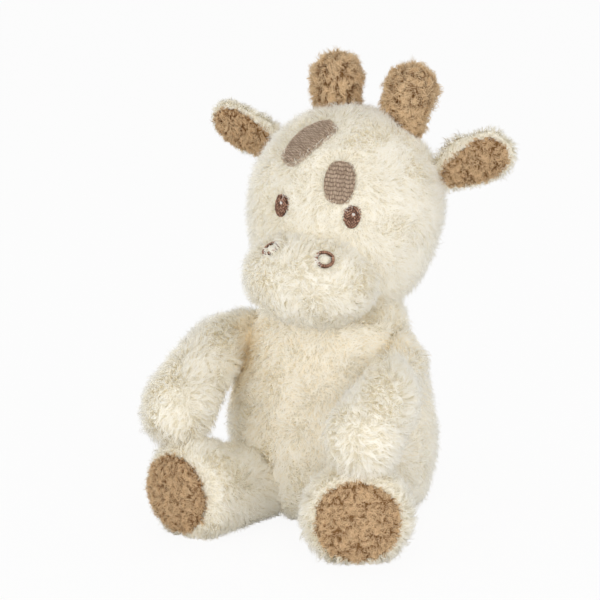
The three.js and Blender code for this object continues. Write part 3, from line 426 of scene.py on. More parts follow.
def stuffed_skin(node, body, material, voxel=2.5, rounds=6):
    """A smooth stuffed skin with the form of a soft solid."""
    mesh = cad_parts[node].data.copy()
    piece = bpy.data.objects.new(node + "_skin", mesh)
    scene.collection.objects.link(piece)
    remesh = piece.modifiers.new("even faces", "REMESH")
    remesh.mode = "VOXEL"
    remesh.voxel_size = voxel * MM
    relax = piece.modifiers.new("relaxed cloth", "SMOOTH")
    relax.factor = 0.5
    relax.iterations = rounds
    settle(piece)
    if node in FORMED:
        places = FORMED[node](surface_of(piece)[0] / MM) * MM
        for vertex, place in zip(piece.data.vertices, places):
            vertex.co = place
    piece.data.materials.clear()
    piece.data.materials.append(material)
    piece.data.shade_smooth()
    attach(piece, body)
    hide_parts(node)
    skins[node] = piece


# %% Skins of cream fabric
CREAM_SOFT = {
    "torso": "torso", "head": "head", "muzzle": "head",
    "ear_back_left": "ear_left", "ear_back_right": "ear_right",
    "arm_left": "arm_left", "arm_right": "arm_right",
    "leg_left": "leg_left", "leg_right": "leg_right",
    "tail": "tail", "pocket_flap": "flap",
}
for node, body in CREAM_SOFT.items():
    fine = node in ("tail", "pocket_flap") or node.startswith("ear")
    stuffed_skin(node, body, cream_ground,
                 voxel=1.0 if fine else 2.5, rounds=3 if fine else 6)

# %% Skins of brown fabric
BROWN_SOFT = {
    "ear_lining_left": "ear_left", "ear_lining_right": "ear_right",
    "ossicone_left": "head", "ossicone_right": "head",
    "foot_pad_left": "leg_left", "foot_pad_right": "leg_right", "tail_tuft": "tail",
}
for node, body in BROWN_SOFT.items():
    thin = node.startswith("ear") or node.startswith("foot")
    stuffed_skin(node, body, brown_ground,
                 voxel=0.9 if thin else 1.5, rounds=2 if thin else 4)
print("skins:", {n: len(p.data.polygons) for n, p in skins.items()})

# %% [markdown]
# ## Growing the pile
# Hair curves would be the usual tool, but a strand made as a thin mesh ribbon keeps
# its shape when the toy is exported. All strands of a skin are made at once as
# arrays. A strand rises from the cloth, bends over along a comb direction, waves with
# its crimp and leans towards the wisp that it belongs to. First come the places where
# strands stand, evenly over the skin.

# %% Where strands may stand
def area_of(piece):
    """Surface of a piece in square millimetres."""
    points, tris, _ = surface_of(piece)
    a, b, c = points[tris[:, 0]], points[tris[:, 1]], points[tris[:, 2]]
    return 0.5 * np.linalg.norm(np.cross(b - a, c - a), axis=1).sum() / MM ** 2


def tree_of(names, pieces=()):
    """A search tree over the solid model's nodes of these names, and over other pieces."""
    points, faces, offset = [], [], 0
    for mesh in [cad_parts[name].data for name in names] + [piece.data for piece in pieces]:
        mesh.calc_loop_triangles()
        points += [v.co.copy() for v in mesh.vertices]
        faces += [tuple(i + offset for i in t.vertices) for t in mesh.loop_triangles]
        offset += len(mesh.vertices)
    return BVHTree.FromPolygons(points, faces)


STITCHED = [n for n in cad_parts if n.split("_")[0] in ("eye", "nostril", "patch")]
sewn_pieces = []


def scattered(piece, count, rng):
    """Random places on a skin, evenly by area, with the skin's normal there."""
    points, tris, normals = surface_of(piece)
    a, b, c = (points[tris[:, i]] for i in range(3))
    area = np.linalg.norm(np.cross(b - a, c - a), axis=1)
    pick = rng.choice(len(tris), size=count, p=area / area.sum())
    u, v = rng.random(count), rng.random(count)
    over = u + v > 1
    u[over], v[over] = 1 - u[over], 1 - v[over]
    w = 1 - u - v
    place = a[pick] * w[:, None] + b[pick] * u[:, None] + c[pick] * v[:, None]
    normal = (normals[tris[pick, 0]] * w[:, None] + normals[tris[pick, 1]] * u[:, None]
              + normals[tris[pick, 2]] * v[:, None])
    return place, unit(normal)


# %% [markdown]
# The comb direction is a smooth random field, the sum of a few long waves, so that
# neighbouring strands lie alike and the direction drifts over some 20 mm, as it does
# on a brushed toy. Gravity and handling lay the pile a little downwards.

# %% Comb direction
COMB_WAVES = 7


def comb(place, rng, wave):
    """A smooth random direction at each place; wave is the length of its drift in mm."""
    field = np.zeros_like(place)
    for _ in range(COMB_WAVES):
        turn = rng.normal(size=3)
        turn *= 2 * math.pi / (wave * MM * rng.uniform(0.7, 1.6)) / np.linalg.norm(turn)
        phase = place @ turn + rng.uniform(0, 2 * math.pi)
        field += np.sin(phase)[:, None] * rng.normal(size=3)
    return field


def flattened(way, normal):
    """A direction laid square to another, as into the skin, with length one."""
    return unit(way - (way * normal).sum(axis=-1, keepdims=True) * normal)


# %% [markdown]
# The belly is a little warmer in colour than the head, and the seams in the armpits
# are warmer still, from the night light inside. This is painted lamp glow: the strands
# carry it as a number of their own, so no lamp has to shine through the cloth.

# %% Painted lamp glow on the belly and the armpits
BELLY = np.array([0, -12, 70]) * MM
BELLY_REACH = 70 * MM
BELLY_GLOW = 0.15
SEAM_RADIUS = 11 * MM
SEAM_STRETCH = [1, 0.8, 0.45]  # the warm seams are long upwards


def painted_lamp_glow(place):
    """From 0, no painted glow, to 1, the full painted lamp glow at the right armpit's seam."""
    far = np.linalg.norm(place - BELLY, axis=1) / BELLY_REACH
    near = BELLY_GLOW * np.clip(1.3 - far, 0, 1)
    for side, deep in ((1, 0.4), (-1, 1.0)):
        seam = np.array([side * 40, -16, 80]) * MM
        gap = np.linalg.norm((place - seam) * SEAM_STRETCH, axis=1)
        near = np.maximum(near, deep * np.exp(-(gap / SEAM_RADIUS) ** 2))
    return np.clip(near, 0, 1)


# %% [markdown]
# Strands that would stand in a joint or against a neighbour are left out or kept
# short. In the crease beside another soft part the pile is shorter, and its colour is
# darker as painted shade.

# %% Room for strands
LOOKS_UP = 16 * MM  # how far up the free height over a skin is measured
NEEDS_ROOM = 1.6 * MM  # a strand with less free height is left out
FLOOR_ROOM = 0.8 * MM  # so is one that stands lower than this over the table
CREASE = 7.0 * MM  # nearer than this to another soft part, pile is in a crease
SOFT = [*CREAM_SOFT, *BROWN_SOFT]


def tree_beside(node, names, pieces=()):
    """A search tree over the nodes beside this one, the formed ones by their skins."""
    return tree_of([n for n in names if n != node and n not in FORMED],
                   [*[skins[n] for n in FORMED if n != node], *pieces])


def free_height(node, body, place, normal):
    """How far each strand of a skin may rise before it meets any other piece."""
    others = tree_beside(node, [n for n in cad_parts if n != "pocket_lining"],
                         sewn_pieces if body == "head" else ())
    free = np.full(len(place), LOOKS_UP)
    for i in range(len(place)):
        up = Vector(normal[i])
        hit = others.ray_cast(Vector(place[i]) + up * (0.1 * MM), up, LOOKS_UP)
        if hit[0] is not None:
            free[i] = hit[3]
    return free


def depth_in_crease(node, place):
    """From 0, in the open, to 1, right beside another soft part."""
    soft_others = tree_beside(node, SOFT)
    gap = np.array([soft_others.find_nearest(Vector(p), CREASE)[3] or CREASE for p in place])
    return 1 - np.clip(gap / CREASE, 0, 1)


# %% [markdown]
# Some pile is brushed aside. Beside stitches it leans away and is short, as the
# embroiderer's foot pressed it, but on the muzzle's ridge it falls over the inner edge
# of both nostrils. Cream pile leans away from the brown soles, which then show in full.
# Round the pocket's mouth it leans outwards, so that the light unit slides past it.

# %% Pile that is brushed aside
STITCH_REACH = 7 * MM
UNBRUSHED = 0.07  # the share of strands that stay as they are beside stitches
OVERHANG = 9 * MM  # how far from a nostril's middle strands lean over it
SOLE_REACH = 6 * MM
POCKET_MIDDLE = np.array([0, 0, 67]) * MM
POCKET_EDGE = (27 * MM, 35 * MM)


def aside(here, spot, lean):
    """A lean of a strand away from a spot."""
    away = here - np.array(spot)
    return lean * away / max(np.linalg.norm(away), 1e-6)


def beside_stitches(node, place, normal, way, long, bend, rng):
    """Brushes the head's and muzzle's pile, and returns the new directions."""
    ridge = [(oval_of("nostril_right")[0], 1, 1.5), (oval_of("nostril_left")[0], -1, 2.6)]
    for i in range(len(place)):
        spot, _, _, gap = stitch_tree.find_nearest(Vector(place[i]), STITCH_REACH)
        if spot is None or rng.random() <= UNBRUSHED:
            continue
        over = [place[i] - middle for middle, hand, past in ridge
                if np.linalg.norm(place[i] - middle) < OVERHANG
                and hand * (place[i] - middle)[0] > past * MM]
        if over and node == "muzzle":
            reach = np.linalg.norm(over[0])
            way[i] -= 2.4 * over[0] / reach
            long[i] = min(long[i], 0.9 * reach)
            continue
        close = 1 - gap / STITCH_REACH
        way[i] += aside(place[i], spot, 3.5 * close)
        long[i] *= 1 - 0.66 * close
        bend[i] += 0.6 * close
    return flattened(way, normal)


def beside_pocket(place, normal, way, long, bend):
    """Brushes the torso's pile, and returns the new directions."""
    off = (place - POCKET_MIDDLE) * [1, 0, 1]
    far = np.linalg.norm(off, axis=1)
    close = (1 - ramp(far, *POCKET_EDGE)) * (place[:, 1] > 5 * MM)
    long *= 1 - 0.6 * close
    bend += 0.9 * close
    return flattened(way + 5 * close[:, None] * off / np.maximum(far, 1e-6)[:, None], normal)


def beside_sole(body, place, normal, way):
    """Brushes a leg's cream pile, and returns the new directions."""
    brown = tree_of([n for n in BROWN_SOFT if BROWN_SOFT[n] == body])
    for i in range(len(place)):
        spot, _, _, gap = brown.find_nearest(Vector(place[i]), SOLE_REACH)
        if spot is not None:
            way[i] += aside(place[i], spot, 3.0 * (1 - gap / SOLE_REACH))
    return flattened(way, normal)


# %% [markdown]
# Each strand belongs to a wisp, and its tip is drawn to that of the strand in the
# wisp's middle. One in seven or so hardly is, which keeps the wisps loose.

# %% Strands and their wisps
RINGS = 6
POINTS = 2 * RINGS - 1  # two at each ring of a ribbon, and one at its tip
FLOOR_LINE = 0.4 * MM


def middle_of_wisp(place, wisps, rng):
    """For each strand the number of the strand in the middle of its wisp."""
    centres = rng.choice(len(place), size=wisps, replace=True)
    finder = KDTree(len(centres))
    for k, i in enumerate(centres):
        finder.insert(place[i], k)
    finder.balance()
    return np.array([centres[finder.find(p)[1]] for p in place])


def strand_paths(place, normal, way, long, bend, middle, crimp, wisp, rng):
    """RINGS points along each strand: bent over, crimped and drawn to its wisp."""
    count = len(place)
    s = np.linspace(0, 1, RINGS)[None, :, None]
    turn = bend[:, None, None]
    rise = np.sin(turn * s) / turn
    run = (1 - np.cos(turn * s)) / turn
    path = place[:, None] + long[:, None, None] * (rise * normal[:, None] + run * way[:, None])
    side = np.cross(normal, way)
    phase = rng.uniform(0, 2 * math.pi, (count, 1, 1))
    turns = rng.uniform(0.6, 1.6, (count, 1, 1))
    swing = crimp * MM * rng.uniform(0.4, 1.2, (count, 1, 1)) * s ** 0.7
    path = path + swing * np.sin(2 * math.pi * turns * s + phase) * side[:, None]
    path = path + 0.6 * swing * np.cos(2 * math.pi * turns * s + phase) * normal[:, None] * s
    drawn = np.where(rng.random(count) < 0.15, 0.2, rng.uniform(0.8, 1.2, count))
    pull = wisp * drawn[:, None, None] * s ** 1.1
    path = path + np.clip(pull, 0, 0.93) * (path[middle] - path)
    path[:, :, 2] = np.maximum(path[:, :, 2], FLOOR_LINE)
    return path


# %% [markdown]
# A ribbon is shaded mostly as the skin under it, because that is what the eye sees of
# pile from some way off: the form of the toy, and only a little of each strand.

# %% Ribbons
SKIN_SHADE = 0.87  # the skin's share in a ribbon's shading normal


def ribbon_points(path, normal, width, rng):
    """The points of each ribbon, and the normals that they are shaded with."""
    count = len(path)
    s = np.linspace(0, 1, RINGS)[None, :, None]
    along = unit(np.gradient(path, axis=1))
    flat = unit(np.cross(along, normal[:, None]))
    twist = rng.normal(0, 0.6, (count, 1, 1))
    edge = np.cos(twist) * flat + np.sin(twist) * np.cross(along, flat)
    facing = (np.cross(along, edge) * normal[:, None]).sum(axis=2, keepdims=True)
    edge = np.where(facing[:, 1:2] < 0, edge, -edge)
    half = 0.5 * width * MM * rng.uniform(0.7, 1.3, (count, 1, 1)) * (1 - s ** 1.6)
    left, right = path - half * edge, path + half * edge
    points = np.empty((count, POINTS, 3))
    points[:, 0:-1:2] = left[:, :-1]
    points[:, 1:-1:2] = right[:, :-1]
    points[:, -1] = path[:, -1]
    rise = flattened(normal[:, None], along)  # the side of a strand that looks up
    soft = unit(SKIN_SHADE * normal[:, None] + (1 - SKIN_SHADE) * rise)
    return points, np.concatenate([np.repeat(soft[:, :-1], 2, axis=1), soft[:, -1:]], axis=1)


# %% [markdown]
# The shades come in eight steps and the painted lamp glow in four. So the exported toy
# needs only one small picture of colours, with a cell for each pair.

# %% Ribbons as a piece
TINTS, GLOW_STEPS = 8, 4


def ribbons(name, points, shade, tint, warm_glow, material, body):
    """Makes one piece of ribbons, with their numbers and their cells in the colour chart."""
    count = len(points)
    base = (np.arange(count) * POINTS)[:, None]
    quads = np.concatenate([
        base + np.array([2 * k, 2 * k + 1, 2 * k + 3, 2 * k + 2]) for k in range(RINGS - 2)])
    tris = base + np.array([2 * RINGS - 4, 2 * RINGS - 3, 2 * RINGS - 2])
    mesh = joined_mesh(name, points.reshape(-1, 3), quads, tris)
    rings = np.concatenate([np.repeat(np.linspace(0, 1, RINGS)[:-1], 2), [1.0]])
    give_numbers(mesh, "tint", np.repeat(tint / (TINTS - 1), POINTS))
    give_numbers(mesh, "warm_glow", np.repeat(warm_glow / (GLOW_STEPS - 1), POINTS))
    give_numbers(mesh, "along", np.tile(rings, count))
    mesh.attributes.new("custom_normal", "FLOAT_VECTOR", "POINT").data.foreach_set(
        "vector", shade.reshape(-1).astype(np.float32))
    cell = (tint + TINTS * warm_glow)[:, None]
    across = np.concatenate([np.tile([0.3, 0.7], RINGS - 1), [0.5]])
    chart = np.stack([
        (cell + across) / (TINTS * GLOW_STEPS),
        np.broadcast_to(0.05 + 0.3 * rings, (count, len(rings)))], axis=2).reshape(-1, 2)
    corners = np.concatenate([quads.ravel(), tris.ravel()])
    layer = mesh.uv_layers.new(name="OFBake")
    layer.uv.foreach_set("vector", chart[corners].astype(np.float32).ravel())
    piece = show(mesh, name, material, body)
    print(f"{piece.name}: {count} strands, {len(quads) * 2 + len(tris)} triangles")
    return piece


# %% [markdown]
# In real pile the light goes on from fibre to fibre many times, far more often than a
# render follows it, and full shadows would turn the roots grey. So only one strand in
# twenty throws a shadow. These strands are a piece of their own, with deep in its name.

# %% Growing the pile of a skin
DEEP_SHARE = 0.05
COMB_SEED = 77  # the same for all skins, so that their pile lies alike where they meet


def grow_pile(node, body, material, slot, per_mm2, length, width, seed, lean, crimp,
              wisp, wisp_mm2, wave, drift, flow, loose, part="", keep=None):
    """Grows the pile of one skin, or of the part of it that keep picks. Sizes are in mm."""
    rng = np.random.default_rng(seed)
    skin = skins[node]
    area = area_of(skin)
    place, normal = scattered(skin, int(area * per_mm2), rng)
    comb_rng = np.random.default_rng(COMB_SEED)
    if keep is not None:
        kept = keep(place)
        place, normal = place[kept], normal[kept]
    free = free_height(node, body, place, normal)
    stays = (free > NEEDS_ROOM) & (place[:, 2] > FLOOR_ROOM)
    place, normal, free = place[stays], normal[stays], free[stays]
    count = len(place)
    crease = depth_in_crease(node, place)

    # Handling has laid the pile down and a little round the body.
    handled = np.stack([-normal[:, 1], normal[:, 0], -1.1 + 0 * normal[:, 0]], axis=1)
    way = (drift * comb(place, comb_rng, wave) + flow * handled
           + loose * rng.normal(size=(count, 3)))
    way = flattened(way, normal)
    long = length * MM * rng.triangular(0.7, 0.85, 1.3, count) * (1 - 0.6 * crease)
    if node.startswith("arm"):
        # The hands have the longest pile.
        long *= 1 + 0.4 * ramp(place[:, 2], 66 * MM, 56 * MM)
    long = np.minimum(long, np.maximum(free * 1.1, 2.2 * MM))
    bend = rng.uniform(*lean, count)
    if body == "head":
        way = beside_stitches(node, place, normal, way, long, bend, rng)
    elif node == "torso":
        way = beside_pocket(place, normal, way, long, bend)
    elif node.startswith("leg"):
        way = beside_sole(body, place, normal, way)

    middle = middle_of_wisp(place, max(int(area / wisp_mm2), 8), rng)
    path = strand_paths(place, normal, way, long, bend, middle, crimp, wisp, rng)
    points, shade = ribbon_points(path, normal, width, rng)
    # A strand's tone differs at random, and is darker in a crease as painted shade.
    tint = np.round((rng.normal(0.55, 0.18, count) - 0.35 * crease) * (TINTS - 1))
    tint = np.clip(tint, 0, TINTS - 1)
    # The warm cast is painted glow of the lamp inside the belly.
    warm_glow = np.round(painted_lamp_glow(place) * (GLOW_STEPS - 1) + rng.uniform(-0.35, 0.35, count))
    warm_glow = np.clip(warm_glow, 0, GLOW_STEPS - 1)
    deep = rng.random(count) < DEEP_SHARE
    for name, some in ((f"{node}_pile{part}", ~deep), (f"{node}_pile_deep{part}", deep)):
        piece = ribbons(name, points[some], shade[some], tint[some], warm_glow[some],
                        material, body)
        piece.visible_shadow = some is deep


# %% [markdown]
# ## Embroidery
# The face and the two forehead patches are sewn with rayon thread, 0.5 to 0.7 mm thick.
# An embroidery machine fills a shape with short parallel stitches, which catch the
# light as small shiny ridges and dip where they enter the cloth. Each stitch is made as
# its own little tube on the padded oval of the solid model, which stays as underlay. The
# underlay is coloured darker than the thread, as painted shade in the gaps between
# stitches.

# %% Embroidery thread material
def thread_material(name, dark, light):
    """Twisted rayon thread: a sheen along the stitch, and shades that vary by stitch."""
    material, tree = new_material(name)
    tint = add(tree, "ShaderNodeAttribute", attribute_name="tint")
    ply = add(tree, "ShaderNodeTexWave", {
        "Vector": on_object(tree), "Scale": 900.0, "Distortion": 1.0},
        bands_direction="DIAGONAL")
    finish_surface(tree, {
        "Base Color": blend(tree, tint.outputs["Fac"], dark, light),
        "Roughness": 0.5, "Specular IOR Level": 0.35,
        "Normal": raised(tree, ply.outputs["Fac"], 0.25, 0.0001)})
    return material


taupe_thread = thread_material("taupe_rayon_thread", "ac957f", "d4bda6")
# The underlays are darker than the threads, as painted shade in the gaps between stitches.
taupe_painted_shade = thread_material("taupe_underlay_painted_shade", "7a6453", "8a7462")
brown_thread = thread_material("dark_brown_rayon_thread", "6a4331", "c79a80")
brown_painted_shade = thread_material("dark_brown_underlay_painted_shade", "3d2318", "4c2d20")
white_thread = thread_material("white_rayon_thread", "dcd9d4", "efedea")

# %% The oval that a shape is sewn on
HEAD_MIDDLE = np.array([5, 4, 160]) * MM


def oval_of(node):
    """Middle, outward, long and cross direction of an embroidered oval, and its half sizes."""
    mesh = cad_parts[node].data
    points = np.array([v.co for v in mesh.vertices])
    middle = (points.max(axis=0) + points.min(axis=0)) / 2
    offset = points - points.mean(axis=0)
    _, axes = np.linalg.eigh(offset.T @ offset)
    out, long = axes[:, 0], axes[:, 2]
    out = out if (middle - HEAD_MIDDLE) @ out > 0 else -out
    long = long if long[2] > 0 else -long
    cross = np.cross(long, out)
    return middle, out, long, cross, np.abs(offset @ long).max(), np.abs(offset @ cross).max()


def on_oval(search, oval, across, along):
    """Points of the oval's face at places given across and along it, in metres."""
    middle, out, long, cross, _, _ = oval
    found = []
    for v, u in zip(across, along):
        start = middle + u * long + v * cross + 12 * MM * out
        spot = search.ray_cast(Vector(start), Vector(-out), 30 * MM)[0]
        if spot is None:
            spot = search.find_nearest(Vector(middle + u * long + v * cross))[0]
        found.append(spot)
    return np.array(found)


# %% [markdown]
# A stitch is a tube with six sides and six rings. Its ends go down into the cloth and
# its middle stands proud.

# %% Sewing stitches
STITCH_RINGS = 6
STITCH_SIDES = 6
STITCH_RISE = 0.32 * MM  # of the middle over the ends
STITCH_SINK = 0.14 * MM  # of the ends into the cloth


def sewn(name, stitches, oval, thick, material, rng, lift=0.0):
    """Makes tubes of stitches, each an array of points on the skin."""
    out, sides = oval[1], STITCH_SIDES
    t = np.linspace(0, 1, STITCH_RINGS)[None, :, None]
    arch = np.sin(math.pi * t) ** 0.5
    path = stitches + (lift + STITCH_RISE * arch - STITCH_SINK) * out
    path = path + rng.normal(0, 0.05 * MM, (len(path), 1, 3))
    along = unit(np.gradient(path, axis=1))
    cross = unit(np.cross(along, out))
    up = np.cross(cross, along)
    turn = (np.arange(sides) / sides * 2 * math.pi)[None, None, :, None]
    thin = thick * MM / 2 * (0.45 + 0.55 * arch)[:, :, None]
    ring = path[:, :, None] + thin * (np.cos(turn) * cross[:, :, None]
                                      + 0.8 * np.sin(turn) * up[:, :, None])
    count, rows = ring.shape[:2]
    first = (np.arange(count) * rows * sides)[:, None]
    quads = []
    for r in range(rows - 1):
        for k in range(sides):
            n = (k + 1) % sides
            quads.append(first + np.array([r * sides + k, r * sides + n,
                                           (r + 1) * sides + n, (r + 1) * sides + k]))
    mesh = joined_mesh(name, ring.reshape(-1, 3), np.concatenate(quads)[:, ::-1],
                       np.empty((0, 3), dtype=int))
    give_numbers(mesh, "tint", np.repeat(rng.random(count), rows * sides))
    sewn_pieces.append(show(mesh, name, material, "head"))
    print(f"{name}: {count} stitches")


# %% [markdown]
# A fill is an oval with corners as square as asked, or an egg that is wider at the
# top. Its lines lie pitch apart and are cut into stitches, the cuts staggered from
# line to line. The stitches of a line leave a gap and may sway to the sides.

# %% Filling a shape with stitches
SHORTEST = 0.5 * MM


def filled(node, stitch, pitch, stagger, down_the_length, rng,
           square=2.0, egg=0.0, size=(0.97, 0.97), gap=0.0, sway=0.0):
    """Stitches that fill the oval of a node. Their length, pitch, gap and sway are in mm."""
    stitch, pitch, gap = stitch * MM, pitch * MM, gap * MM
    oval = oval_of(node)
    search = tree_of([node, "head"])
    tall, wide = oval[4] * size[0], oval[5] * size[1]
    u = np.linspace(-1, 1, 401)
    half = wide * (1 - np.abs(u) ** square) ** (1 / square) * (1 + egg * u)
    made = []
    run, lines = (tall, half.max()) if down_the_length else (half.max(), tall)
    for i, b in enumerate(np.arange(-lines + pitch / 2, lines, pitch)):
        if down_the_length:
            inside = u[half >= abs(b)] * tall
            first, last = inside.min(), inside.max()
        else:
            last = np.interp(b / tall, u, half)
            first = -last
        first -= rng.uniform(-0.15, 0.3) * MM
        last += rng.uniform(-0.15, 0.3) * MM
        shift = stagger[i % len(stagger)] + 0.12 * math.sin(i * 0.9) + rng.uniform(-0.05, 0.05)
        cuts = np.arange(-run - stitch, run + stitch, stitch) + stitch * shift
        cuts = cuts[(cuts > first + SHORTEST) & (cuts < last - SHORTEST)]
        cuts = np.concatenate([[first], cuts, [last]])
        for low_end, high_end in zip(cuts[:-1], cuts[1:]):
            a = np.linspace(low_end + gap / 2, high_end - gap / 2, STITCH_RINGS)
            line = b + rng.normal(0, sway) * MM * np.linspace(-1, 1, STITCH_RINGS)
            made.append(on_oval(search, oval, line, a) if down_the_length
                        else on_oval(search, oval, a, line))
    return np.array(made), oval


# %% [markdown]
# The upper patch is a tatami fill across its length. The lower one has rows of upright
# stitches whose ends make wavy lines 2 mm apart. Both have blunt corners.

# %% Forehead patches
rng = np.random.default_rng(31)
stitches, oval = filled("patch_right", 3.4, 0.6, (0, 0.33, 0.66), False, rng,
                        square=3.2, size=(1.0, 1.16), gap=0.2)
sewn("patch_right_stitches", stitches, oval, 0.54, taupe_thread, rng,
     lift=0.5 * MM)
stitches, oval = filled("patch_left", 2.2, 0.64, (0,), True, rng,
                        square=3.0, gap=0.24, sway=0.08)
sewn("patch_left_stitches", stitches, oval, 0.58, taupe_thread, rng,
     lift=0.2 * MM)

# %% [markdown]
# The eyes are small fills with a few white stitches on top as a catchlight. The
# nostrils are rings of satin stitch: every stitch crosses the ring.

# %% Eyes and nostrils
GLINTS = (0.7, 1.0, 0.95, 0.6)  # half lengths of the catchlight's stitches
GLINT_PITCH = 0.42
RING_HALF = 0.85  # half the width of a nostril's ring
RING_REACH = 0.95  # half the length of a stitch across it
RING_PITCH = 0.45

for hand in ("left", "right"):
    stitches, oval = filled(f"eye_{hand}", 1.5, 0.85, (0, 0.5), True, rng,
                            egg=0.25, gap=0.3, sway=0.35)
    sewn(f"eye_{hand}_stitches", stitches, oval, 0.72, brown_thread, rng)
    search = tree_of([f"eye_{hand}"])
    tall, wide = oval[4], oval[5]
    glint = []
    for k, half in enumerate(GLINTS):
        v = wide * 0.12 + (k - 1.5) * GLINT_PITCH * MM
        u = tall * 0.25 + np.linspace(-half * MM, half * MM, STITCH_RINGS)
        glint.append(on_oval(search, oval, np.full(STITCH_RINGS, v), u))
    sewn(f"eye_{hand}_glint", np.array(glint), oval, 0.46, white_thread, rng,
         lift=0.22 * MM)

    oval = oval_of(f"nostril_{hand}")
    search = tree_of([f"nostril_{hand}"])
    tall, wide = oval[4] - RING_HALF * MM, oval[5] - RING_HALF * MM
    reach = np.linspace(-RING_REACH, RING_REACH, STITCH_RINGS) * MM
    turns = np.arange(0, 2 * math.pi, RING_PITCH * MM / wide)
    around = [on_oval(search, oval, (wide + reach) * math.cos(turn),
                      (tall + reach) * math.sin(turn)) for turn in turns]
    sewn(f"nostril_{hand}_stitches", np.array(around), oval, 0.5, brown_thread,
         rng)

# The stitched solids show as underlay, in the darker colour that is painted shade between
# stitches.
for node in STITCHED:
    underlay = taupe_painted_shade if node.startswith("patch") else brown_painted_shade
    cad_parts[node].data.materials[0] = underlay

# %% [markdown]
# ## The pile of every skin
# The cream pile is about 8 mm long and lies in loose wisps. The brown pile is a little
# shorter and curls into tight grains. The big skins have more strands than one piece
# should hold, so their pile comes in four quarters. All pile is grown after the
# stitches, so that it can make way for them.

# %% Cream pile
CREAM = dict(material=cream_pile, slot="cream_fleece", per_mm2=2.0, length=7.8, width=0.4,
             lean=(0.9, 2.2), crimp=1.5, wisp=0.8, wisp_mm2=2.9, wave=22, drift=0.7, flow=1.0,
             loose=1.2)
CREAM_ON_THIN = {**CREAM, "length": 7.4, "per_mm2": 2.4, "lean": (0.9, 2.1)}
QUARTERS = {"_front_left": (1, -1), "_front_right": (-1, -1),
            "_back_left": (1, 1), "_back_right": (-1, 1)}
FIRST_SEED = 101
stitch_tree = tree_of(STITCHED, sewn_pieces)
for seed, (node, body) in enumerate(CREAM_SOFT.items(), FIRST_SEED):
    if node in ("torso", "head"):
        for part, (across, deep) in QUARTERS.items():
            grow_pile(node, body, seed=seed, part=part, **CREAM,
                      keep=lambda p: (p[:, 0] * across >= 0) & (p[:, 1] * deep >= 0))
    elif node == "pocket_flap":
        grow_pile(node, body, seed=seed, **{**CREAM_ON_THIN, "per_mm2": 2.0})
    elif node == "tail" or node.startswith("ear"):
        grow_pile(node, body, seed=seed, **CREAM_ON_THIN)
    else:
        grow_pile(node, body, seed=seed, **CREAM)

# %% Brown pile
BROWN = dict(material=brown_pile, slot="brown_fleece", per_mm2=3.6, length=7.0, width=0.4,
             lean=(0.8, 2.7), crimp=1.5, wisp=0.75, wisp_mm2=4.5, wave=8, drift=0.8, flow=0.25,
             loose=2.0)
for seed, (node, body) in enumerate(BROWN_SOFT.items(), FIRST_SEED + len(CREAM_SOFT)):
    grow_pile(node, body, seed=seed, **BROWN)

# %% [markdown]
# ## The light unit, its pocket and the fastening
# These solids already have their true shape, so they keep it and get real materials.
# A fine bevel rounds the edges of the moulded and the metal ones.

# %% Plastics
def moulded(name, colour, roughness, grain_mm):
    """Injection moulded plastic with a fine spark-eroded texture."""
    material, tree = new_material(name)
    where = on_object(tree)
    cloudy = noise(tree, where, 60.0, 2.0)
    grain = noise(tree, where, 1 / (grain_mm * MM), 2.0)
    finish_surface(tree, {
        "Base Color": linear(colour), "IOR": 1.53,
        "Roughness": spread(tree, cloudy, roughness - 0.05, roughness + 0.07),
        "Normal": raised(tree, grain, 0.2, 0.0001)})
    return material


white_abs = moulded("satin_white_moulded_abs", "f2f2ee", 0.42, 0.25)
beige_abs = moulded("beige_moulded_abs", "c9b9a4", 0.38, 0.2)

# %% Opal diffuser
# Milky plastic scatters the lamps' light: palest in the middle, deeper to the rim.
DOME_MIDDLE = (0, -0.035, 0.067)
DOME_RADIUS = 0.034
opal, tree = new_material("opal_moulded_polypropylene")
middle = add(tree, "ShaderNodeVectorMath", {0: on_object(tree), 1: DOME_MIDDLE},
             operation="DISTANCE")
glow = spread(tree, middle.outputs["Value"], 1.0, 0.0, end=DOME_RADIUS)
finish_surface(tree, {
    "Base Color": linear("fff1d8"), "Roughness": 0.4, "IOR": 1.49, "Subsurface Weight": 0.4,
    "Subsurface Radius": (0.006, 0.004, 0.003),
    "Emission Color": blend(tree, glow, "ff9d45", "ffcf8c"), "Emission Strength": 0.7})

# %% Circuit board: green mask over copper tracks
board, tree = new_material("solder_mask_on_glass_epoxy")
pads = add(tree, "ShaderNodeTexVoronoi", {"Vector": on_object(tree), "Scale": 230.0},
           feature="DISTANCE_TO_EDGE")
trace = spread(tree, pads.outputs["Distance"], 0.0, 1.0, start=0.04, end=0.07)
finish_surface(tree, {
    "Base Color": blend(tree, trace, "4f9562", "24593a"), "Roughness": 0.35, "IOR": 1.5,
    "Coat Weight": 0.3})

# %% LEDs: clear resin over a warm chip
epoxy, tree = new_material("clear_cast_epoxy_lit_warm")
finish_surface(tree, {
    "Base Color": linear("ffe9bd"), "Roughness": 0.08, "IOR": 1.54, "Transmission Weight": 0.5,
    "Emission Color": linear("ffb860"), "Emission Strength": 1.5})

# %% Cells: a dark sleeve with a copper coloured end, scuffed by handling
SLEEVE_END = 0.078  # its height over the table in m
sleeve, tree = new_material("shrink_sleeve_on_steel_cell")
where = on_object(tree)
height = add(tree, "ShaderNodeSeparateXYZ", {"Vector": where})
band = spread(tree, height.outputs["Z"], 0.0, 1.0, start=SLEEVE_END, end=SLEEVE_END + 0.0002)
finish_surface(tree, {
    "Base Color": blend(tree, band, "2f3237", "c08a4e"), "IOR": 1.5, "Coat Weight": 0.4,
    "Roughness": spread(tree, noise(tree, where, 300.0, 4.0), 0.22, 0.4)})

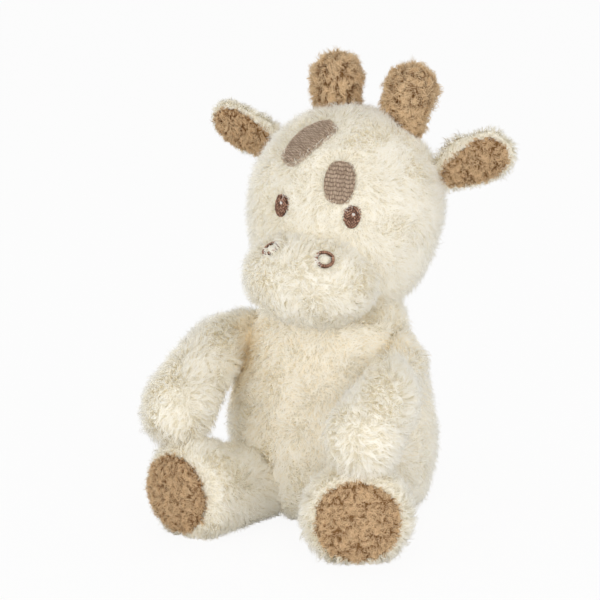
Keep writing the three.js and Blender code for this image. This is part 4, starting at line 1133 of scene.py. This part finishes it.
# %% Contacts and screw: plated sheet, brushed along its length
nickel, tree = new_material("nickel_plated_spring_steel")
lines = add(tree, "ShaderNodeMapping", {"Vector": on_object(tree), "Scale": (300, 300, 4000)})
finish_surface(tree, {
    "Base Color": linear("cbc7be"), "Metallic": 1.0,
    "Roughness": spread(tree, noise(tree, lines.outputs[0], 1.0, 3.0), 0.2, 0.38)})

# %% [markdown]
# The pocket is lined with woven polyester and closes with hook and loop tape. A weave
# is two crossed sets of waves, here 0.8 mm apart so that it shows.

# %% Woven lining and tape
def woven(name, colour, gap, thread_mm, fuzz):
    """Plain weave: light threads over gaps darkened as painted shade."""
    material, tree = new_material(name)
    where = on_object(tree)
    size = 1 / (thread_mm * MM)
    weft, warp = (add(tree, "ShaderNodeTexWave", {
        "Vector": where, "Scale": size * 0.16, "Distortion": 0.3}, bands_direction=way)
        for way in ("Z", "X"))
    both = add(tree, "ShaderNodeMath", {0: weft.outputs["Fac"], 1: warp.outputs["Fac"]},
               operation="MULTIPLY")
    nap = noise(tree, where, size, 4.0)
    height = add(tree, "ShaderNodeMix", {"Factor": fuzz, 2: both.outputs[0], 3: nap}).outputs[0]
    finish_surface(tree, {
        "Base Color": blend(tree, height, gap, colour), "Roughness": 0.85,
        "Specular IOR Level": 0.3, "Sheen Weight": 0.1,
        "Normal": raised(tree, height, 0.6, 0.0004)})
    return material


# The second colour of each goes in the low parts: painted shade in the gaps of the weave, and tone
# of the nap where it is fuzzy.
taffeta = woven("woven_polyester_taffeta", "f7f2e6", "cfc6b0", 0.8, 0.1)
hook_tape = woven("moulded_nylon_hook_tape", "efe9d8", "b9af97", 1.2, 0.3)
loop_tape = woven("napped_nylon_loop_tape", "efe8d6", "c9c0aa", 0.9, 0.85)

# %% Materials and fine edges for the carried-over solids
WEARS = [  # the material, the width of its bevels in mm, and the nodes
    (white_abs, 0.25, "lamp_housing bezel_ring battery_door"),
    (beige_abs, 0.15, "push_button mode_knob"),
    (nickel, 0.15, "contact_top contact_bottom door_screw button_switch"),
    (opal, 0, "diffuser_dome"), (board, 0, "circuit_board"), (epoxy, 0, "led_1 led_2 led_3"),
    (sleeve, 0, "battery_1 battery_2 battery_3"), (taffeta, 0, "pocket_lining"),
    (hook_tape, 0, "hook_tape"), (loop_tape, 0, "loop_tape"),
]
for material, bevel, nodes in WEARS:
    for node in nodes.split():
        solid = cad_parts[node]
        solid.data.materials[0] = material
        if bevel:
            edge = solid.modifiers.new("moulded edge", "BEVEL")
            edge.width = bevel * MM
            edge.segments = 2
            edge.limit_method = "ANGLE"
            edge.angle_limit = math.radians(40)
print("materials on solids:", {material.name: nodes for material, _, nodes in WEARS})
